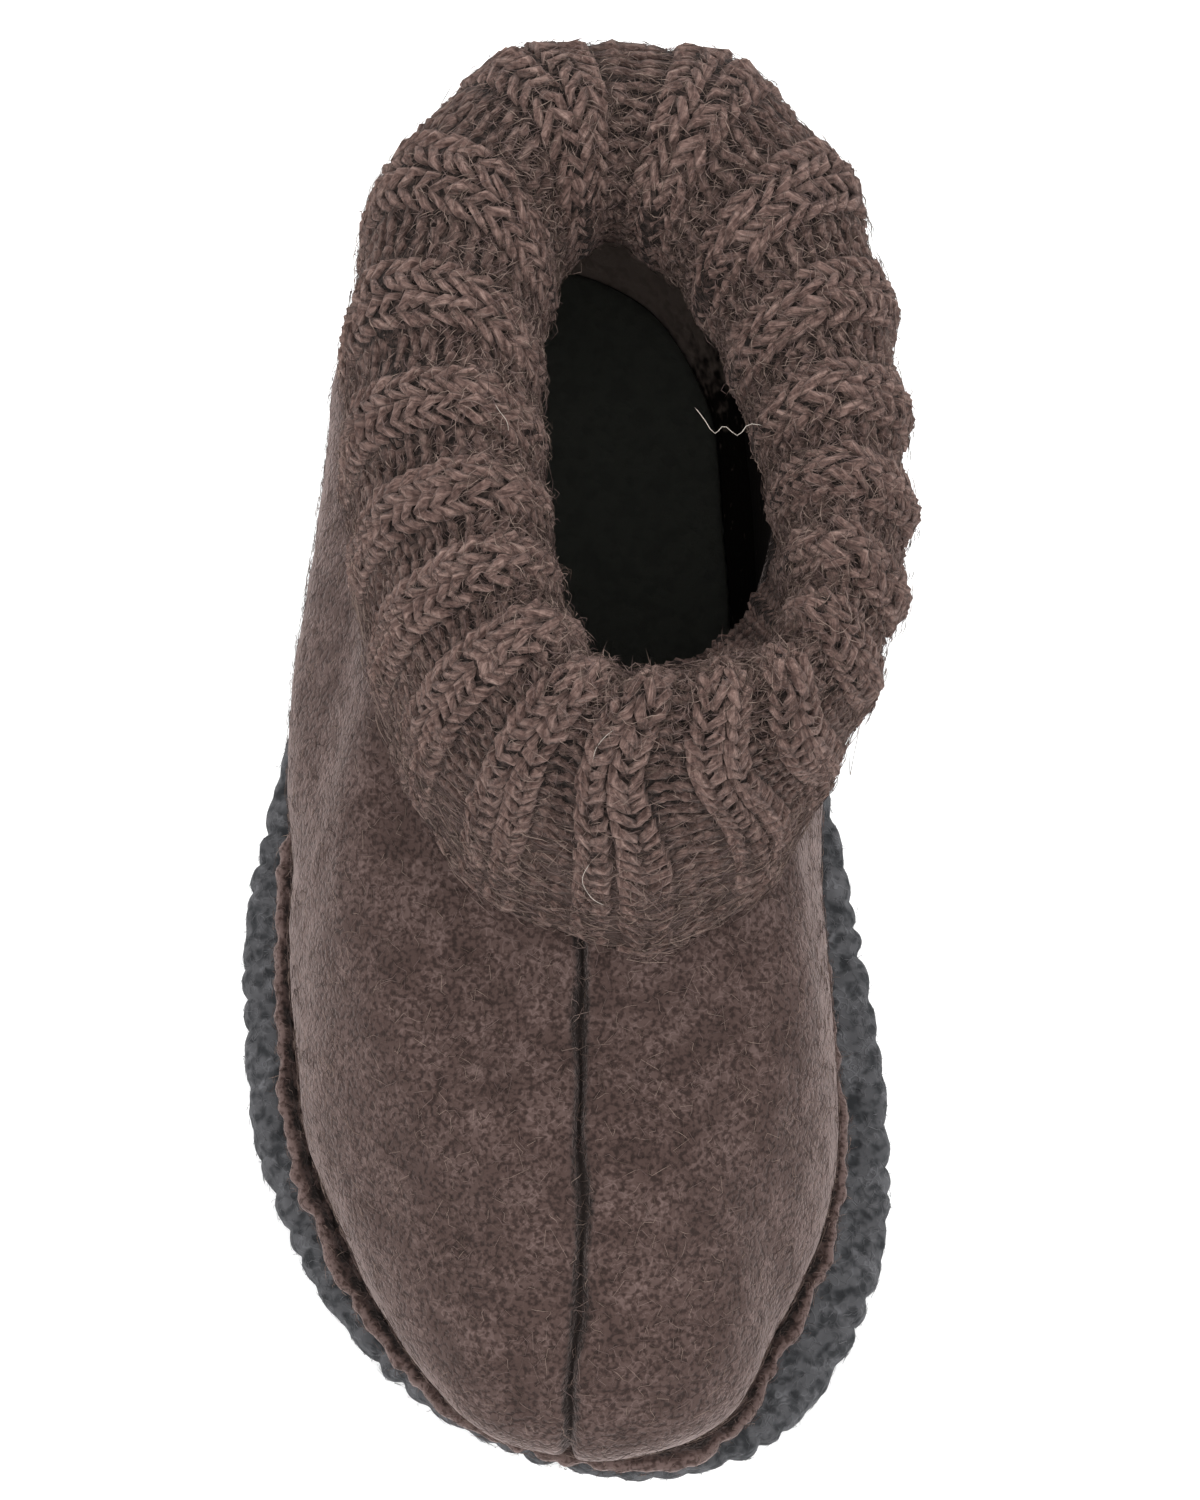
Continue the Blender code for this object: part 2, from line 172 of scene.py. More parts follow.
def station_of(y):
    """Share of the sole's length from its heel."""
    return np.clip(0.5 - (np.asarray(y) - SOLE_BACK) / SOLE_LENGTH, 0, 1)


def lift(y):
    """Height of the sole's underside: flat at heel and ball, hollow at the arch, sprung at the toe."""
    station = station_of(y)
    arch = np.clip((station - ARCH_FROM) / (ARCH_TO - ARCH_FROM), 0, 1)
    toe = np.clip((station - SPRING_FROM) / (1.0 - SPRING_FROM), 0, 1)
    return ARCH_LIFT * np.sin(math.pi * arch) ** 2 + TOE_SPRING * toe**2


def bed(y):
    """Height of the sole's top face."""
    return lift(y) + SOLE_THICKNESS


def grid_normals(grid):
    """Unit normals of a grid of points that closes round its first axis, pointing outwards."""
    round_way = np.roll(grid, -1, axis=0) - np.roll(grid, 1, axis=0)
    return unit(np.cross(round_way, np.gradient(grid, axis=1)) + 1e-15)


def lumps(points, size):
    """Smooth noise from about -1 to 1 at each point, in lumps of about that size."""
    flat = [noise.noise(Vector(point) / size) for point in points.reshape(-1, 3)]
    return np.array(flat).reshape(points.shape[:-1])


def layered_lumps(points, layers):
    return sum(height * lumps(points, size * MM) for height, size in layers)


def sewn_sheet(name, points, closed_rows, shade=None, lined=()):
    """A flat grid wrapped through columns and rows of points, and sewn shut where they meet.

    Shade is painted shade that darkens the wool at each point from 0 to 1, and painted light that pales it
    under 0.
    Faces between lined rows take the second finish.
    """
    columns, rows = points.shape[:2]
    steps = rows if closed_rows else rows - 1
    shades = np.zeros((columns, rows)) if shade is None else shade
    sheet = bmesh.new()
    shade_layer = sheet.verts.layers.float.new("shade")
    row_layer = sheet.verts.layers.int.new("row")
    bmesh.ops.create_grid(sheet, x_segments=columns, y_segments=steps, size=0.5)
    for corner in sheet.verts:
        across = round((corner.co.x + 0.5) * columns) % columns
        along = round((corner.co.y + 0.5) * steps) % rows
        corner.co = points[across, along]
        corner[shade_layer] = shades[across, along]
        corner[row_layer] = along
    bmesh.ops.remove_doubles(sheet, verts=sheet.verts[:], dist=0.001 * MM)
    bmesh.ops.recalc_face_normals(sheet, faces=sheet.faces[:])
    for face in sheet.faces:
        face.material_index = int(all(corner[row_layer] in lined for corner in face.verts))
    mesh = bpy.data.meshes.new(name)
    sheet.to_mesh(mesh)
    sheet.free()
    mesh.shade_smooth()
    return mesh


def add_piece(name, mesh, finish):
    """A finished piece of the slipper, in place in its mesh."""
    piece = bpy.data.objects.new(name, mesh)
    bpy.context.scene.collection.objects.link(piece)
    mesh.materials.append(finish)
    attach(piece, "root")
    return piece


def placed(tree, kind, inputs, **settings):
    """A shader node with its settings, and its inputs set to values or joined to other sockets."""
    node = tree.nodes.new(kind)
    for name, value in settings.items():
        setattr(node, name, value)
    for name, value in inputs.items():
        if isinstance(value, bpy.types.NodeSocket):
            tree.links.new(value, node.inputs[name])
        else:
            node.inputs[name].default_value = value
    return node


def maths(tree, operation, *values):
    return placed(tree, "ShaderNodeMath", dict(enumerate(values)), operation=operation).outputs[0]


def ramp(tree, value, stops):
    """Colours along a value from 0 to 1."""
    node = placed(tree, "ShaderNodeValToRGB", {"Fac": value})
    elements = node.color_ramp.elements
    while len(elements) < len(stops):
        elements.new(0.5)
    for element, (position, colour) in zip(elements, stops):
        element.position = position
        element.color = (*colour, 1.0)
    return node.outputs["Color"]


def cloud(tree, place, scale, detail):
    """Soft noise from 0 to 1."""
    inputs = {"Vector": place, "Scale": scale, "Detail": detail}
    return placed(tree, "ShaderNodeTexNoise", inputs).outputs["Fac"]


def eased(tree, value, low, high):
    """A value taken from 0 at low to 1 at high, level at both ends."""
    inputs = {"Value": value, "From Min": low, "From Max": high}
    return placed(tree, "ShaderNodeMapRange", inputs, interpolation_type="SMOOTHSTEP").outputs["Result"]


def wool_tangle_group():
    """Matted wool: broad clumps, soft dark pits between the fibres, and pale strands lying over them."""
    group = bpy.data.node_groups.new("wool_tangle", "ShaderNodeTree")
    sockets = group.interface
    sockets.new_socket("Vector", in_out="INPUT", socket_type="NodeSocketVector")
    for name, size in (("Clumps", 130.0), ("Pits", 1100.0), ("Strands", 420.0)):
        made = sockets.new_socket(name, in_out="INPUT", socket_type="NodeSocketFloat")
        made.default_value = size
    for name in ("Tone", "Height", "Pits"):
        sockets.new_socket(name, in_out="OUTPUT", socket_type="NodeSocketFloat")
    given = group.nodes.new("NodeGroupInput").outputs
    result = group.nodes.new("NodeGroupOutput").inputs
    place = given["Vector"]
    clumps = cloud(group, place, given["Clumps"], 3.0)
    pits = cloud(group, place, given["Pits"], 1.5)
    matted = eased(group, pits, 0.30, 0.58)
    strands = None
    for shift, finer in ((0.0, 1.0), (0.37, 1.5)):
        moved = placed(group, "ShaderNodeVectorMath", {0: place, 1: (shift, shift, shift)}, operation="ADD")
        wave = cloud(group, moved.outputs[0], maths(group, "MULTIPLY", given["Strands"], finer), 1.0)
        off_line = maths(group, "ABSOLUTE", maths(group, "SUBTRACT", wave, 0.5))
        line = eased(group, off_line, 0.030, 0.004)
        strands = line if strands is None else maths(group, "MAXIMUM", strands, line)
    broken = maths(group, "MULTIPLY", strands, eased(group, clumps, 0.26, 0.62))
    fine = maths(group, "MULTIPLY_ADD", matted, 0.36, 0.06)
    shade = maths(group, "MULTIPLY_ADD", clumps, 0.43, fine)
    tone = placed(
        group, "ShaderNodeMath", {0: broken, 1: 0.15, 2: shade}, operation="MULTIPLY_ADD", use_clamp=True
    ).outputs[0]
    height = maths(group, "MULTIPLY_ADD", broken, 0.35, maths(group, "MULTIPLY", matted, 0.65))
    for name, value in (("Tone", tone), ("Height", height), ("Pits", pits)):
        group.links.new(value, result[name])
    return group


wool_tangle = wool_tangle_group()
# The colour that painted shade blends towards, where a mesh's shade is over 0.
PAINTED_SHADE_COLOUR = (0.010, 0.007, 0.006, 1.0)


def blended(tree, share, first, second):
    """A colour a share of the way from the first to the second."""
    return placed(tree, "ShaderNodeMix", {0: share, 6: first, 7: second}, data_type="RGBA").outputs[2]


def wool_finish(name, stops, sizes, bump, sheen, sheen_colour):
    """Matt wool with colours along the tangle's tone, and a soft sheen at the edges.

    It carries painted shade, darker where the mesh's shade is over 0, and painted light, paler where that is
    under 0.
    """
    finish = bpy.data.materials.new(name)
    finish.use_nodes = True
    tree = finish.node_tree
    place = placed(tree, "ShaderNodeTexCoord", {})
    tangle = placed(tree, "ShaderNodeGroup", {}, node_tree=wool_tangle)
    tree.links.new(place.outputs["Object"], tangle.inputs["Vector"])
    for socket, size in zip(("Clumps", "Pits", "Strands"), sizes):
        tangle.inputs[socket].default_value = size
    relief = placed(
        tree, "ShaderNodeBump", {"Height": tangle.outputs["Height"], "Strength": bump, "Distance": 0.5 * MM}
    )
    # Painted shade, made ragged by the pits, and painted light where the shade is under 0.
    painted_shade = placed(tree, "ShaderNodeAttribute", {}, attribute_name="shade").outputs["Fac"]
    uneven = maths(tree, "MULTIPLY_ADD", tangle.outputs["Pits"], -2.0, 2.0)
    ragged = eased(tree, maths(tree, "MULTIPLY", painted_shade, uneven), 0.18, 0.75)
    tone = maths(tree, "MULTIPLY_ADD", maths(tree, "MINIMUM", painted_shade, 0.0), -0.3, tangle.outputs["Tone"])
    colour = blended(tree, ragged, ramp(tree, tone, stops), PAINTED_SHADE_COLOUR)
    shader = tree.nodes["Principled BSDF"]
    tree.links.new(colour, shader.inputs["Base Color"])
    tree.links.new(relief.outputs["Normal"], shader.inputs["Normal"])
    shader.inputs["Roughness"].default_value = 0.95
    shader.inputs["Specular IOR Level"].default_value = 0.15
    shader.inputs["Sheen Weight"].default_value = sheen
    shader.inputs["Sheen Roughness"].default_value = 0.45
    shader.inputs["Sheen Tint"].default_value = (*sheen_colour, 1.0)
    return finish


def slab_grid(edge, rim_rows, top, underside):
    """A felt slab's points: rows from a seam along its top's middle, round its rim, to its underside's."""
    out = outward(edge)
    rim = []
    for inset, share in rim_rows:
        flat = edge - out * inset[:, None]
        low = underside(flat[:, 1])
        rim.append(np.column_stack([flat, low + (top(flat[:, 1]) - low) * share]))
    mirror = -np.arange(len(edge)) % len(edge)
    faces = {}
    for first, height in ((rim[0], top), (rim[-1], underside)):
        middle = (first + first[mirror]) / 2
        rows = [middle + (first - middle) * share for share in FACE_SHARES]
        faces[height] = [np.column_stack([row[:, :2], height(row[:, 1])]) for row in rows]
    return np.stack(faces[top] + rim + faces[underside][::-1], axis=1)


edge = sole_outline(SCALLOPS * SCALLOP_STEPS)
around = np.arange(len(edge)) / len(edge) * 2 * math.pi
lobe = SCALLOPS * around / 2
for size, waves, start in STITCH_DRIFT:
    lobe = lobe + size * np.sin(waves * around + start)
pinch = (1 - np.abs(np.sin(lobe))) ** PINCH_SHARPNESS * (0.65 + 0.35 * np.sin(17 * around + 0.4))
rim_rows = []
for turn in np.radians(np.linspace(90, -90, RIM_STEPS)):
    reach = abs(math.cos(turn)) ** RIM_POWER
    share = 0.5 + 0.5 * math.copysign(abs(math.sin(turn)) ** RIM_POWER, math.sin(turn))
    inset = RIM_ROUND * (1 - reach) + SCALLOP_DEPTH * reach * pinch
    rim_rows.append((inset, share - SCALLOP_TUCK * pinch * reach * math.sin(turn)))
outsole_grid = slab_grid(edge, rim_rows, bed, lift)
outsole_out = grid_normals(outsole_grid[:, ::-1])[:, ::-1]
uneven = layered_lumps(outsole_grid, SOLE_LUMPS)
on_rim = np.zeros(outsole_grid.shape[1])
on_rim[len(FACE_SHARES) + 1 : -len(FACE_SHARES) - 1] = 1.0
outsole_grid = outsole_grid + outsole_out * (MM * uneven * on_rim)[:, :, None]
outsole_grid[:, :, 2] = np.maximum(outsole_grid[:, :, 2], 0.0)
grey_felt = wool_finish(
    "grey_felt",
    (
        (0.22, (0.022, 0.023, 0.025)),
        (0.42, (0.042, 0.043, 0.046)),
        (0.60, (0.068, 0.068, 0.072)),
        (0.85, (0.120, 0.120, 0.127)),
    ),
    sizes=(330.0, 620.0, 420.0), bump=0.7, sheen=0.10, sheen_colour=(0.75, 0.76, 0.8),
)
outsole = add_piece("outsole", sewn_sheet("outsole", outsole_grid, False), grey_felt)
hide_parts("outsole")

# Nap of the sole: loose wool fibres that stand a little off the rim, paler and darker than the felt.
# They are fine closed spindles, pointed at both ends, rooted in the felt and bent over it.
SOLE_FIBRES = 2600
SOLE_FIBRE_LENGTH = (0.8, 2.2)
SOLE_FIBRE_RISE = (0.01, 0.07)
SOLE_FIBRE_BEND = 0.35
SOLE_FIBRE_RADIUS = 0.03 * MM
SOLE_FIBRE_LOWEST = 0.1 * MM
FIBRE_POINTS = 4
FIBRE_SIDES = 3


def scattered(grid, out, count, weight, chance):
    """Random places over a grid closed round its columns: points, ways out and two ways along it."""
    ahead = np.roll(grid, -1, axis=0) - grid
    up = np.diff(grid, axis=1)
    area = np.linalg.norm(np.cross(ahead[:, :-1], up), axis=2) * weight
    cell = chance.choice(area.size, count, p=area.ravel() / area.sum())
    i, j = np.unravel_index(cell, area.shape)
    across, along = chance.random((2, count, 1))
    root = grid[i, j] + ahead[i, j] * across + up[i, j] * along
    normal = unit(out[i, j])
    first = unit(ahead[i, j] - normal * np.sum(ahead[i, j] * normal, axis=1, keepdims=True))
    return root, normal, first, np.cross(normal, first)


def lying_fibres(places, length, rise, bend, points, chance, bow=0.0):
    """Curved hairs over a surface: each starts in the wool, arches off it and lies down again.

    Length and rise are ranges in millimetres. Bend is a share of the length.
    Bow is the curving of the surface under them, half of one over its radius.
    """
    root, normal, first, second = places
    count = len(root)
    turn = chance.uniform(0, 2 * math.pi, (count, 1, 1))
    along = np.cos(turn) * first[:, None] + np.sin(turn) * second[:, None]
    aside = np.cross(normal[:, None], along)
    reach = chance.uniform(*length, (count, 1, 1)) * MM
    height = chance.uniform(*rise, (count, 1, 1)) * MM
    swing = chance.normal(0, bend, (count, 1, 1)) * reach
    wave = chance.normal(0, bend / 2, (count, 1, 1)) * reach
    s = np.linspace(0, 1, points)[None, :, None]
    arch = np.sin(math.pi * np.minimum(1.0, 0.12 + s) * 0.85) - 0.45 * (1 - s) ** 4
    return (
        root[:, None] + along * reach * s + aside * (swing * s**2 + wave * np.sin(2 * math.pi * s))
        + normal[:, None] * (height * arch - bow * (reach * s) ** 2)
    )


def spindles(name, line, radius, tone, sides):
    """Closed threads along rows of points, pointed at both ends, with a tone for each thread."""
    count, points = line.shape[:2]
    tangent = unit(np.gradient(line, axis=1)[:, 1:-1])
    upright = np.where(np.abs(tangent[..., 2:]) > 0.8, (1.0, 0.0, 0.0), (0.0, 0.0, 1.0))
    aside = unit(np.cross(tangent, upright))
    above = np.cross(aside, tangent)
    turn = np.arange(sides) * 2 * math.pi / sides
    spread = aside[:, :, None] * np.cos(turn)[:, None] + above[:, :, None] * np.sin(turn)[:, None]
    rings = line[:, 1:-1, None] + spread * np.reshape(radius, (-1, 1, 1, 1))
    corners = np.concatenate([line[:, :1], rings.reshape(count, -1, 3), line[:, -1:]], axis=1)
    last = corners.shape[1] - 1
    side = np.arange(sides)
    after = (side + 1) % sides
    faces = [np.column_stack([np.zeros(sides, int), 1 + after, 1 + side])]
    for ring in range(points - 3):
        low = 1 + ring * sides
        faces.append(np.column_stack([low + side, low + after, low + sides + after]))
        faces.append(np.column_stack([low + side, low + sides + after, low + sides + side]))
    low = 1 + (points - 3) * sides
    faces.append(np.column_stack([low + side, low + after, np.full(sides, last)]))
    faces = np.concatenate(faces)[None] + (np.arange(count) * (last + 1))[:, None, None]
    mesh = bpy.data.meshes.new(name)
    mesh.from_pydata(corners.reshape(-1, 3).tolist(), [], faces.reshape(-1, 3).tolist())
    mesh.shade_smooth()
    shade = mesh.attributes.new("tone", "FLOAT", "POINT")
    shade.data.foreach_set("value", np.repeat(tone, last + 1).astype(np.float32))
    return mesh


def fibre_finish(name, stops):
    """Loose wool, coloured by each fibre's own tone."""
    finish = bpy.data.materials.new(name)
    finish.use_nodes = True
    tree = finish.node_tree
    tone = placed(tree, "ShaderNodeAttribute", {}, attribute_name="tone")
    shader = tree.nodes["Principled BSDF"]
    tree.links.new(ramp(tree, tone.outputs["Fac"], stops), shader.inputs["Base Color"])
    shader.inputs["Roughness"].default_value = 0.85
    shader.inputs["Specular IOR Level"].default_value = 0.2
    return finish


chance = np.random.default_rng(11)
sole_places = scattered(outsole_grid, outsole_out, SOLE_FIBRES, on_rim[1:], chance)
sole_lines = lying_fibres(
    sole_places, SOLE_FIBRE_LENGTH, SOLE_FIBRE_RISE, SOLE_FIBRE_BEND, FIBRE_POINTS, chance
)
sole_lines[:, :, 2] = np.maximum(sole_lines[:, :, 2], SOLE_FIBRE_LOWEST)
sole_tones = chance.random(SOLE_FIBRES) ** 1.4
grey_fibre = fibre_finish("grey_fibre", ((0.0, (0.02, 0.02, 0.022)), (1.0, (0.20, 0.20, 0.21))))
sole_nap = spindles("sole_nap", sole_lines, SOLE_FIBRE_RADIUS, sole_tones, FIBRE_SIDES)
add_piece("sole_nap", sole_nap, grey_fibre)

# Insole: a thin dark felt sock laid loose inside the upper, on the sole.
# Its edge is cut square and only a little rounded by wear.
FLANGE_WIDTH = 2.4 * MM
FELT_WALL = 3.0 * MM
JOINT_GAP = 0.3 * MM
INSOLE_THICKNESS = 3.5 * MM
INSOLE_GAP = 1.5 * JOINT_GAP
INSOLE_POINTS = 240

# Its cut edge from top to underside: distance in, in millimetres, and share of the thickness.
INSOLE_EDGE = ((1.2, 1.0), (0.5, 0.95), (0.1, 0.82), (0.0, 0.5), (0.0, 0.05), (0.3, 0.0))


def flange_outline(count):
    """The outer edge of the upper's flange, standing in from the sole's edge."""
    loop = sole_outline(count)
    station = station_of(loop[:, 1])
    stations = column(SOLE_ROWS, SOLE_COLUMNS, "station")
    toe = int(np.argmin(loop[:, 1]))
    margin = np.where(
        np.arange(count) < toe,
        smooth_through(stations, column(SOLE_ROWS, SOLE_COLUMNS, "outer_margin"), station),
        smooth_through(stations, column(SOLE_ROWS, SOLE_COLUMNS, "inner_margin"), station),
    )
    return loop - outward(loop) * (margin * MM)[:, None]


insole_edge = flange_outline(INSOLE_POINTS)
insole_edge = insole_edge - outward(insole_edge) * (FLANGE_WIDTH + FELT_WALL + INSOLE_GAP)
insole_rows = [(np.full(INSOLE_POINTS, inset * MM), share) for inset, share in INSOLE_EDGE]
insole_grid = slab_grid(
    insole_edge, insole_rows,
    lambda y: bed(y) + JOINT_GAP + INSOLE_THICKNESS, lambda y: bed(y) + JOINT_GAP,
)
dark_felt = wool_finish(
    "dark_felt",
    ((0.25, (0.052, 0.054, 0.047)), (0.55, (0.058, 0.060, 0.052)), (0.85, (0.068, 0.069, 0.060))),
    sizes=(60.0, 500.0, 420.0), bump=0.3, sheen=0.02, sheen_colour=(0.5, 0.5, 0.5),
)
insole = add_piece("insole", sewn_sheet("insole", insole_grid, False), dark_felt)
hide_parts("insole")

# Upper: one wall of brown boiled wool, folded round the heel and closed by a seam over the toe.
# Its lower edge turns out as a narrow flange on the sole, with a stitched groove above it.
# The seam is a deep, slightly notched groove with painted shade in it, and the inside of the wall carries
# painted light at the back of the heel and painted shade at the sides.
FLANGE_THICKNESS = 2.2 * MM
SEAM_TOE_X = -0.8 * MM
SEAM_DEPTH = 1.7 * MM
SEAM_HALF_WIDTH = 0.85 * MM
SEAM_NOTCH = 2.7 * MM
SEAM_WANDER = 0.40 * MM
SEAM_WAVES = (3.3 * MM, 8.0 * MM)
SEAM_FADE = 9.0 * MM
SEAM_NEAR = 0.9
SEAM_LIP = 0.05 * MM
LIP_AWAY = 2.2 * MM
LIP_WIDTH = 1.1 * MM
GROOVE_STITCH = 4.6 * MM
# Painted light on the flange's top, which the wall over it shades.
FLANGE_PAINTED_LIGHT = -0.8
SIDE_COLUMNS = 290
SEAM_COLUMNS = 36
SEAM_COLUMNS_FROM = 0.965
WALL_ROWS = 61
LINING_ROWS = slice(10, None, 4)
WALL_LUMPS = ((0.42, 11.0), (0.16, 3.5))
FLANGE_LUMPS = ((0.35, 2.5), (0.20, 1.2))
EDGE_LUMPS = ((0.35, 6.0), (0.25, 2.0))

# Profile of the wall from its base to its top edge, by place round the foot: 0 at the middle of the
# heel, 1 at the toe seam. Swell is the fullest point, crown and throat lie a share of the way in.
UPPER_COLUMNS = (
    "place", "swell_outer", "swell_inner", "swell_up", "crown_in", "crown_up", "throat_in", "throat_up",
    "flap_outer", "flap_inner",
)
UPPER_ROWS = (
    (0.00, 4.0, 4.0, 26.0, 0.16, 40.0, 0.60, 55.0, 2.50, 2.50),
    (0.25, 5.2, 5.2, 28.0, 0.16, 41.0, 0.60, 55.0, 2.60, 2.50),
    (0.40, 5.6, 5.6, 28.0, 0.18, 41.5, 0.60, 54.0, 2.80, 2.55),
    (0.48, 4.0, 4.0, 27.0, 0.19, 41.0, 0.60, 53.0, 2.95, 2.60),
    (0.56, 1.2, 1.6, 24.0, 0.19, 40.0, 0.60, 51.5, 3.02, 2.68),
    (0.68, 0.6, 0.6, 20.0, 0.20, 38.5, 0.60, 49.5, 3.08, 2.85),
    (0.82, 1.2, 0.6, 19.0, 0.22, 40.0, 0.61, 49.0, 3.10, 3.02),
    (0.90, 3.0, 1.0, 20.0, 0.23, 41.5, 0.62, 49.0, 3.10, 3.06),
    (0.95, 4.8, 3.0, 21.0, 0.23, 42.5, 0.63, 49.5, 3.10, 3.08),
    (1.00, 5.4, 5.4, 21.0, 0.23, 42.5, 0.63, 49.5, 3.10, 3.10),
)

# Rings of the ankle, in millimetres: centre and half width across, back and front along the foot,
# height at the back and at the front. Then shares: how far the corners are squared at the back and
# at the front, how much narrower the back is, and last the degrees that the ring is turned.
RINGS = {
    "felt_top": (4.2, 22.5, 68.0, 2.0, 70.0, 66.0, 0.02, 0.02, 0.00, 5.0),
    "neck": (6.3, 14.1, 55.4, -2.0, 82.0, 80.0, 0.00, 0.18, 0.22, 9.0),
    "inner_crest": (6.2, 14.6, 57.8, -4.2, 93.0, 91.0, 0.02, 0.18, 0.22, 9.0),
    "crest": (6.3, 20.7, 66.5, -8.2, 98.5, 96.0, 0.04, 0.10, 0.09, 6.5),
    "outer_crest": (5.2, 29.2, 74.5, -14.0, 93.0, 90.0, 0.07, 0.07, 0.00, 5.0),
}
SEAM_TURN = 0.35


def ring_angle(place):
    """Angle round the ankle, from its back, that belongs to a place round the foot."""
    return math.pi * (place + 0.165 * np.sin(math.pi * place))


def ring_point(name, side, angle):
    """Points of a ring of the ankle. Side is -1 on the outer and 1 on the inner side."""
    centre_x, half_width, back, front, height_back, height_front, *form = RINGS[name]
    square_back, square_front, taper, twist = form
    turn = side * angle + SEAM_TURN * (0.5 - 0.5 * np.cos(angle))
    share = 0.5 + 0.5 * np.cos(turn)
    squareness = square_front + (square_back - square_front) * share
    fullness = 1 + squareness * (0.5 - 0.5 * np.cos(4 * turn))
    x = half_width * np.sin(turn) * fullness * (1 - taper * np.cos(turn))
    y = (back - front) / 2 * np.cos(turn) * fullness
    twist = math.radians(twist)
    turned_x = centre_x + x * math.cos(twist) - y * math.sin(twist)
    turned_y = (back + front) / 2 + x * math.sin(twist) + y * math.cos(twist)
    return MM * np.stack([turned_x, turned_y, height_front + (height_back - height_front) * share], -1)


def base_columns(side, place):
    """Points of the wall's base line in plan at each column, and the ways out from it."""
    flange = flange_outline(1200)
    wall = flange - outward(flange) * FLANGE_WIDTH
    joined = np.hstack([wall, outward(wall)])
    front = np.where(wall[:, 1] < -0.4 * SOLE_LENGTH)[0]
    seam = front[np.argmin(np.abs(wall[front, 0] - SEAM_TOE_X))]
    outer_half = joined[: seam + 1]
    inner_half = np.vstack([joined[:1], joined[: seam - 1 : -1]])
    rows = np.where(side[:, None] < 0, resampled(outer_half, place), resampled(inner_half, place))
    return rows[:, :2], unit(rows[:, 2:])


def upper_profiles(side, place):
    """Points of the upper's outer face at each column: base, swell, crown, throat, top edge."""
    flat, away = base_columns(side, place)
    places = column(UPPER_ROWS, UPPER_COLUMNS, "place")
    size = {
        name: smooth_through(places, column(UPPER_ROWS, UPPER_COLUMNS, name), place)[:, None]
        for name in UPPER_COLUMNS[1:]
    }
    swell_out = np.where(side[:, None] < 0, size["swell_outer"], size["swell_inner"])
    floor = lift(flat[:, 1])[:, None]
    top = ring_point("felt_top", side, ring_angle(place))
    inward = top[:, :2] - flat
    base = np.hstack([flat, floor + SOLE_THICKNESS + JOINT_GAP + FLANGE_THICKNESS])
    swell = np.hstack([flat + away * MM * swell_out, floor + MM * size["swell_up"]])
    crown = np.hstack([flat + inward * size["crown_in"], MM * size["crown_up"]])
    throat = np.hstack([flat + inward * size["throat_in"], MM * size["throat_up"]])
    flap_end = np.where(side[:, None] < 0, size["flap_outer"], size["flap_inner"])
    return np.stack([base, swell, crown, throat, top], axis=1), flap_end


to_seam = np.linspace(0, SEAM_COLUMNS_FROM, SIDE_COLUMNS)
places = np.concatenate([to_seam, np.linspace(SEAM_COLUMNS_FROM, 1.0, SEAM_COLUMNS)[1:]])
side = np.concatenate([np.full(len(places), -1.0), np.full(len(places) - 2, 1.0)])
place = np.concatenate([places, places[-2:0:-1]])
profiles, _ = upper_profiles(side, place)
wall = line_through(profiles, np.linspace(0, profiles.shape[1] - 1, WALL_ROWS)[None])
wall_out = grid_normals(wall)
lining = (wall - wall_out * FELT_WALL)[:, LINING_ROWS]
seam_line = wall[np.argmax(place)]
up_seam = np.concatenate([[0.0], np.cumsum(np.linalg.norm(np.diff(seam_line, axis=0), axis=1))])
short_wave, long_wave = SEAM_WAVES
wander = SEAM_WANDER * np.sin(up_seam / short_wave) * np.sin(up_seam / long_wave + 1.0)
from_seam = np.linalg.norm(wall - seam_line, axis=2) * side[:, None] - wander
notch = 0.5 + 0.5 * np.cos(2 * math.pi * up_seam / SEAM_NOTCH + 1.5 * np.sin(up_seam / SEAM_FADE))
half_width = SEAM_HALF_WIDTH * (0.8 + 0.5 * notch)
fading = np.clip(up_seam / SEAM_FADE, 0.15, 1.0) * (place > SEAM_NEAR)[:, None]
groove = fading * np.exp(-((from_seam / half_width) ** 2))
lips = SEAM_LIP * fading * np.exp(-(((np.abs(from_seam) - LIP_AWAY) / LIP_WIDTH) ** 2))
uneven = layered_lumps(wall, WALL_LUMPS)
wall = wall + wall_out * (MM * uneven + lips - SEAM_DEPTH * groove)[:, :, None]

# The foot of the wall: distance out from its base and height above the sole, in millimetres.
FOOT_ROWS = (
    (-3.0, 4.0), (-3.0, 0.6), (-2.4, 0.0), (2.1, 0.0), (2.9, 0.5), (3.1, 1.4), (2.6, 2.3), (1.7, 2.1),
    (0.6, 0.8),
)
FOOT_STEPS = 19
INNER_FOOT_ROWS = 4
FLANGE_ROWS = slice(8, 17)
# The rows of the flange's top that carry painted light.
PAINTED_LIGHT_ROWS = slice(8, 15)

# Painted shade in the stitched groove: how dark the last rows of the foot are, and the first of the wall
# over them.
GROOVE_SHADES = (0.25, 0.7, 1.0, 1.0)
WALL_SHADES = (0.85, 0.25)

# The lining carries painted light, so it is pale at the back of the heel, and painted shade that grows
# between these places round the foot.
LINING_PLACES = (0.08, 0.25)
LINING_SHADES = (0.0, 1.2)
flat, away = base_columns(side, place)
floor_line = bed(flat[:, 1]) + JOINT_GAP
along_base = np.concatenate([[0.0], np.cumsum(np.linalg.norm(np.diff(flat, axis=0), axis=1))])
base_line = np.column_stack([flat, np.full(len(flat), 20 * MM)])
ragged = 1 + layered_lumps(base_line, EDGE_LUMPS)
foot = []
for out_by, up_by in FOOT_ROWS:
    reach = out_by * MM * (ragged if out_by > 0.5 else np.ones(len(flat)))
    foot.append(np.column_stack([flat + away * reach[:, None], floor_line + up_by * MM]))
foot = line_through(np.stack(foot, axis=1), np.linspace(0, len(foot) - 1, FOOT_STEPS)[None])
flange_out = grid_normals(foot)
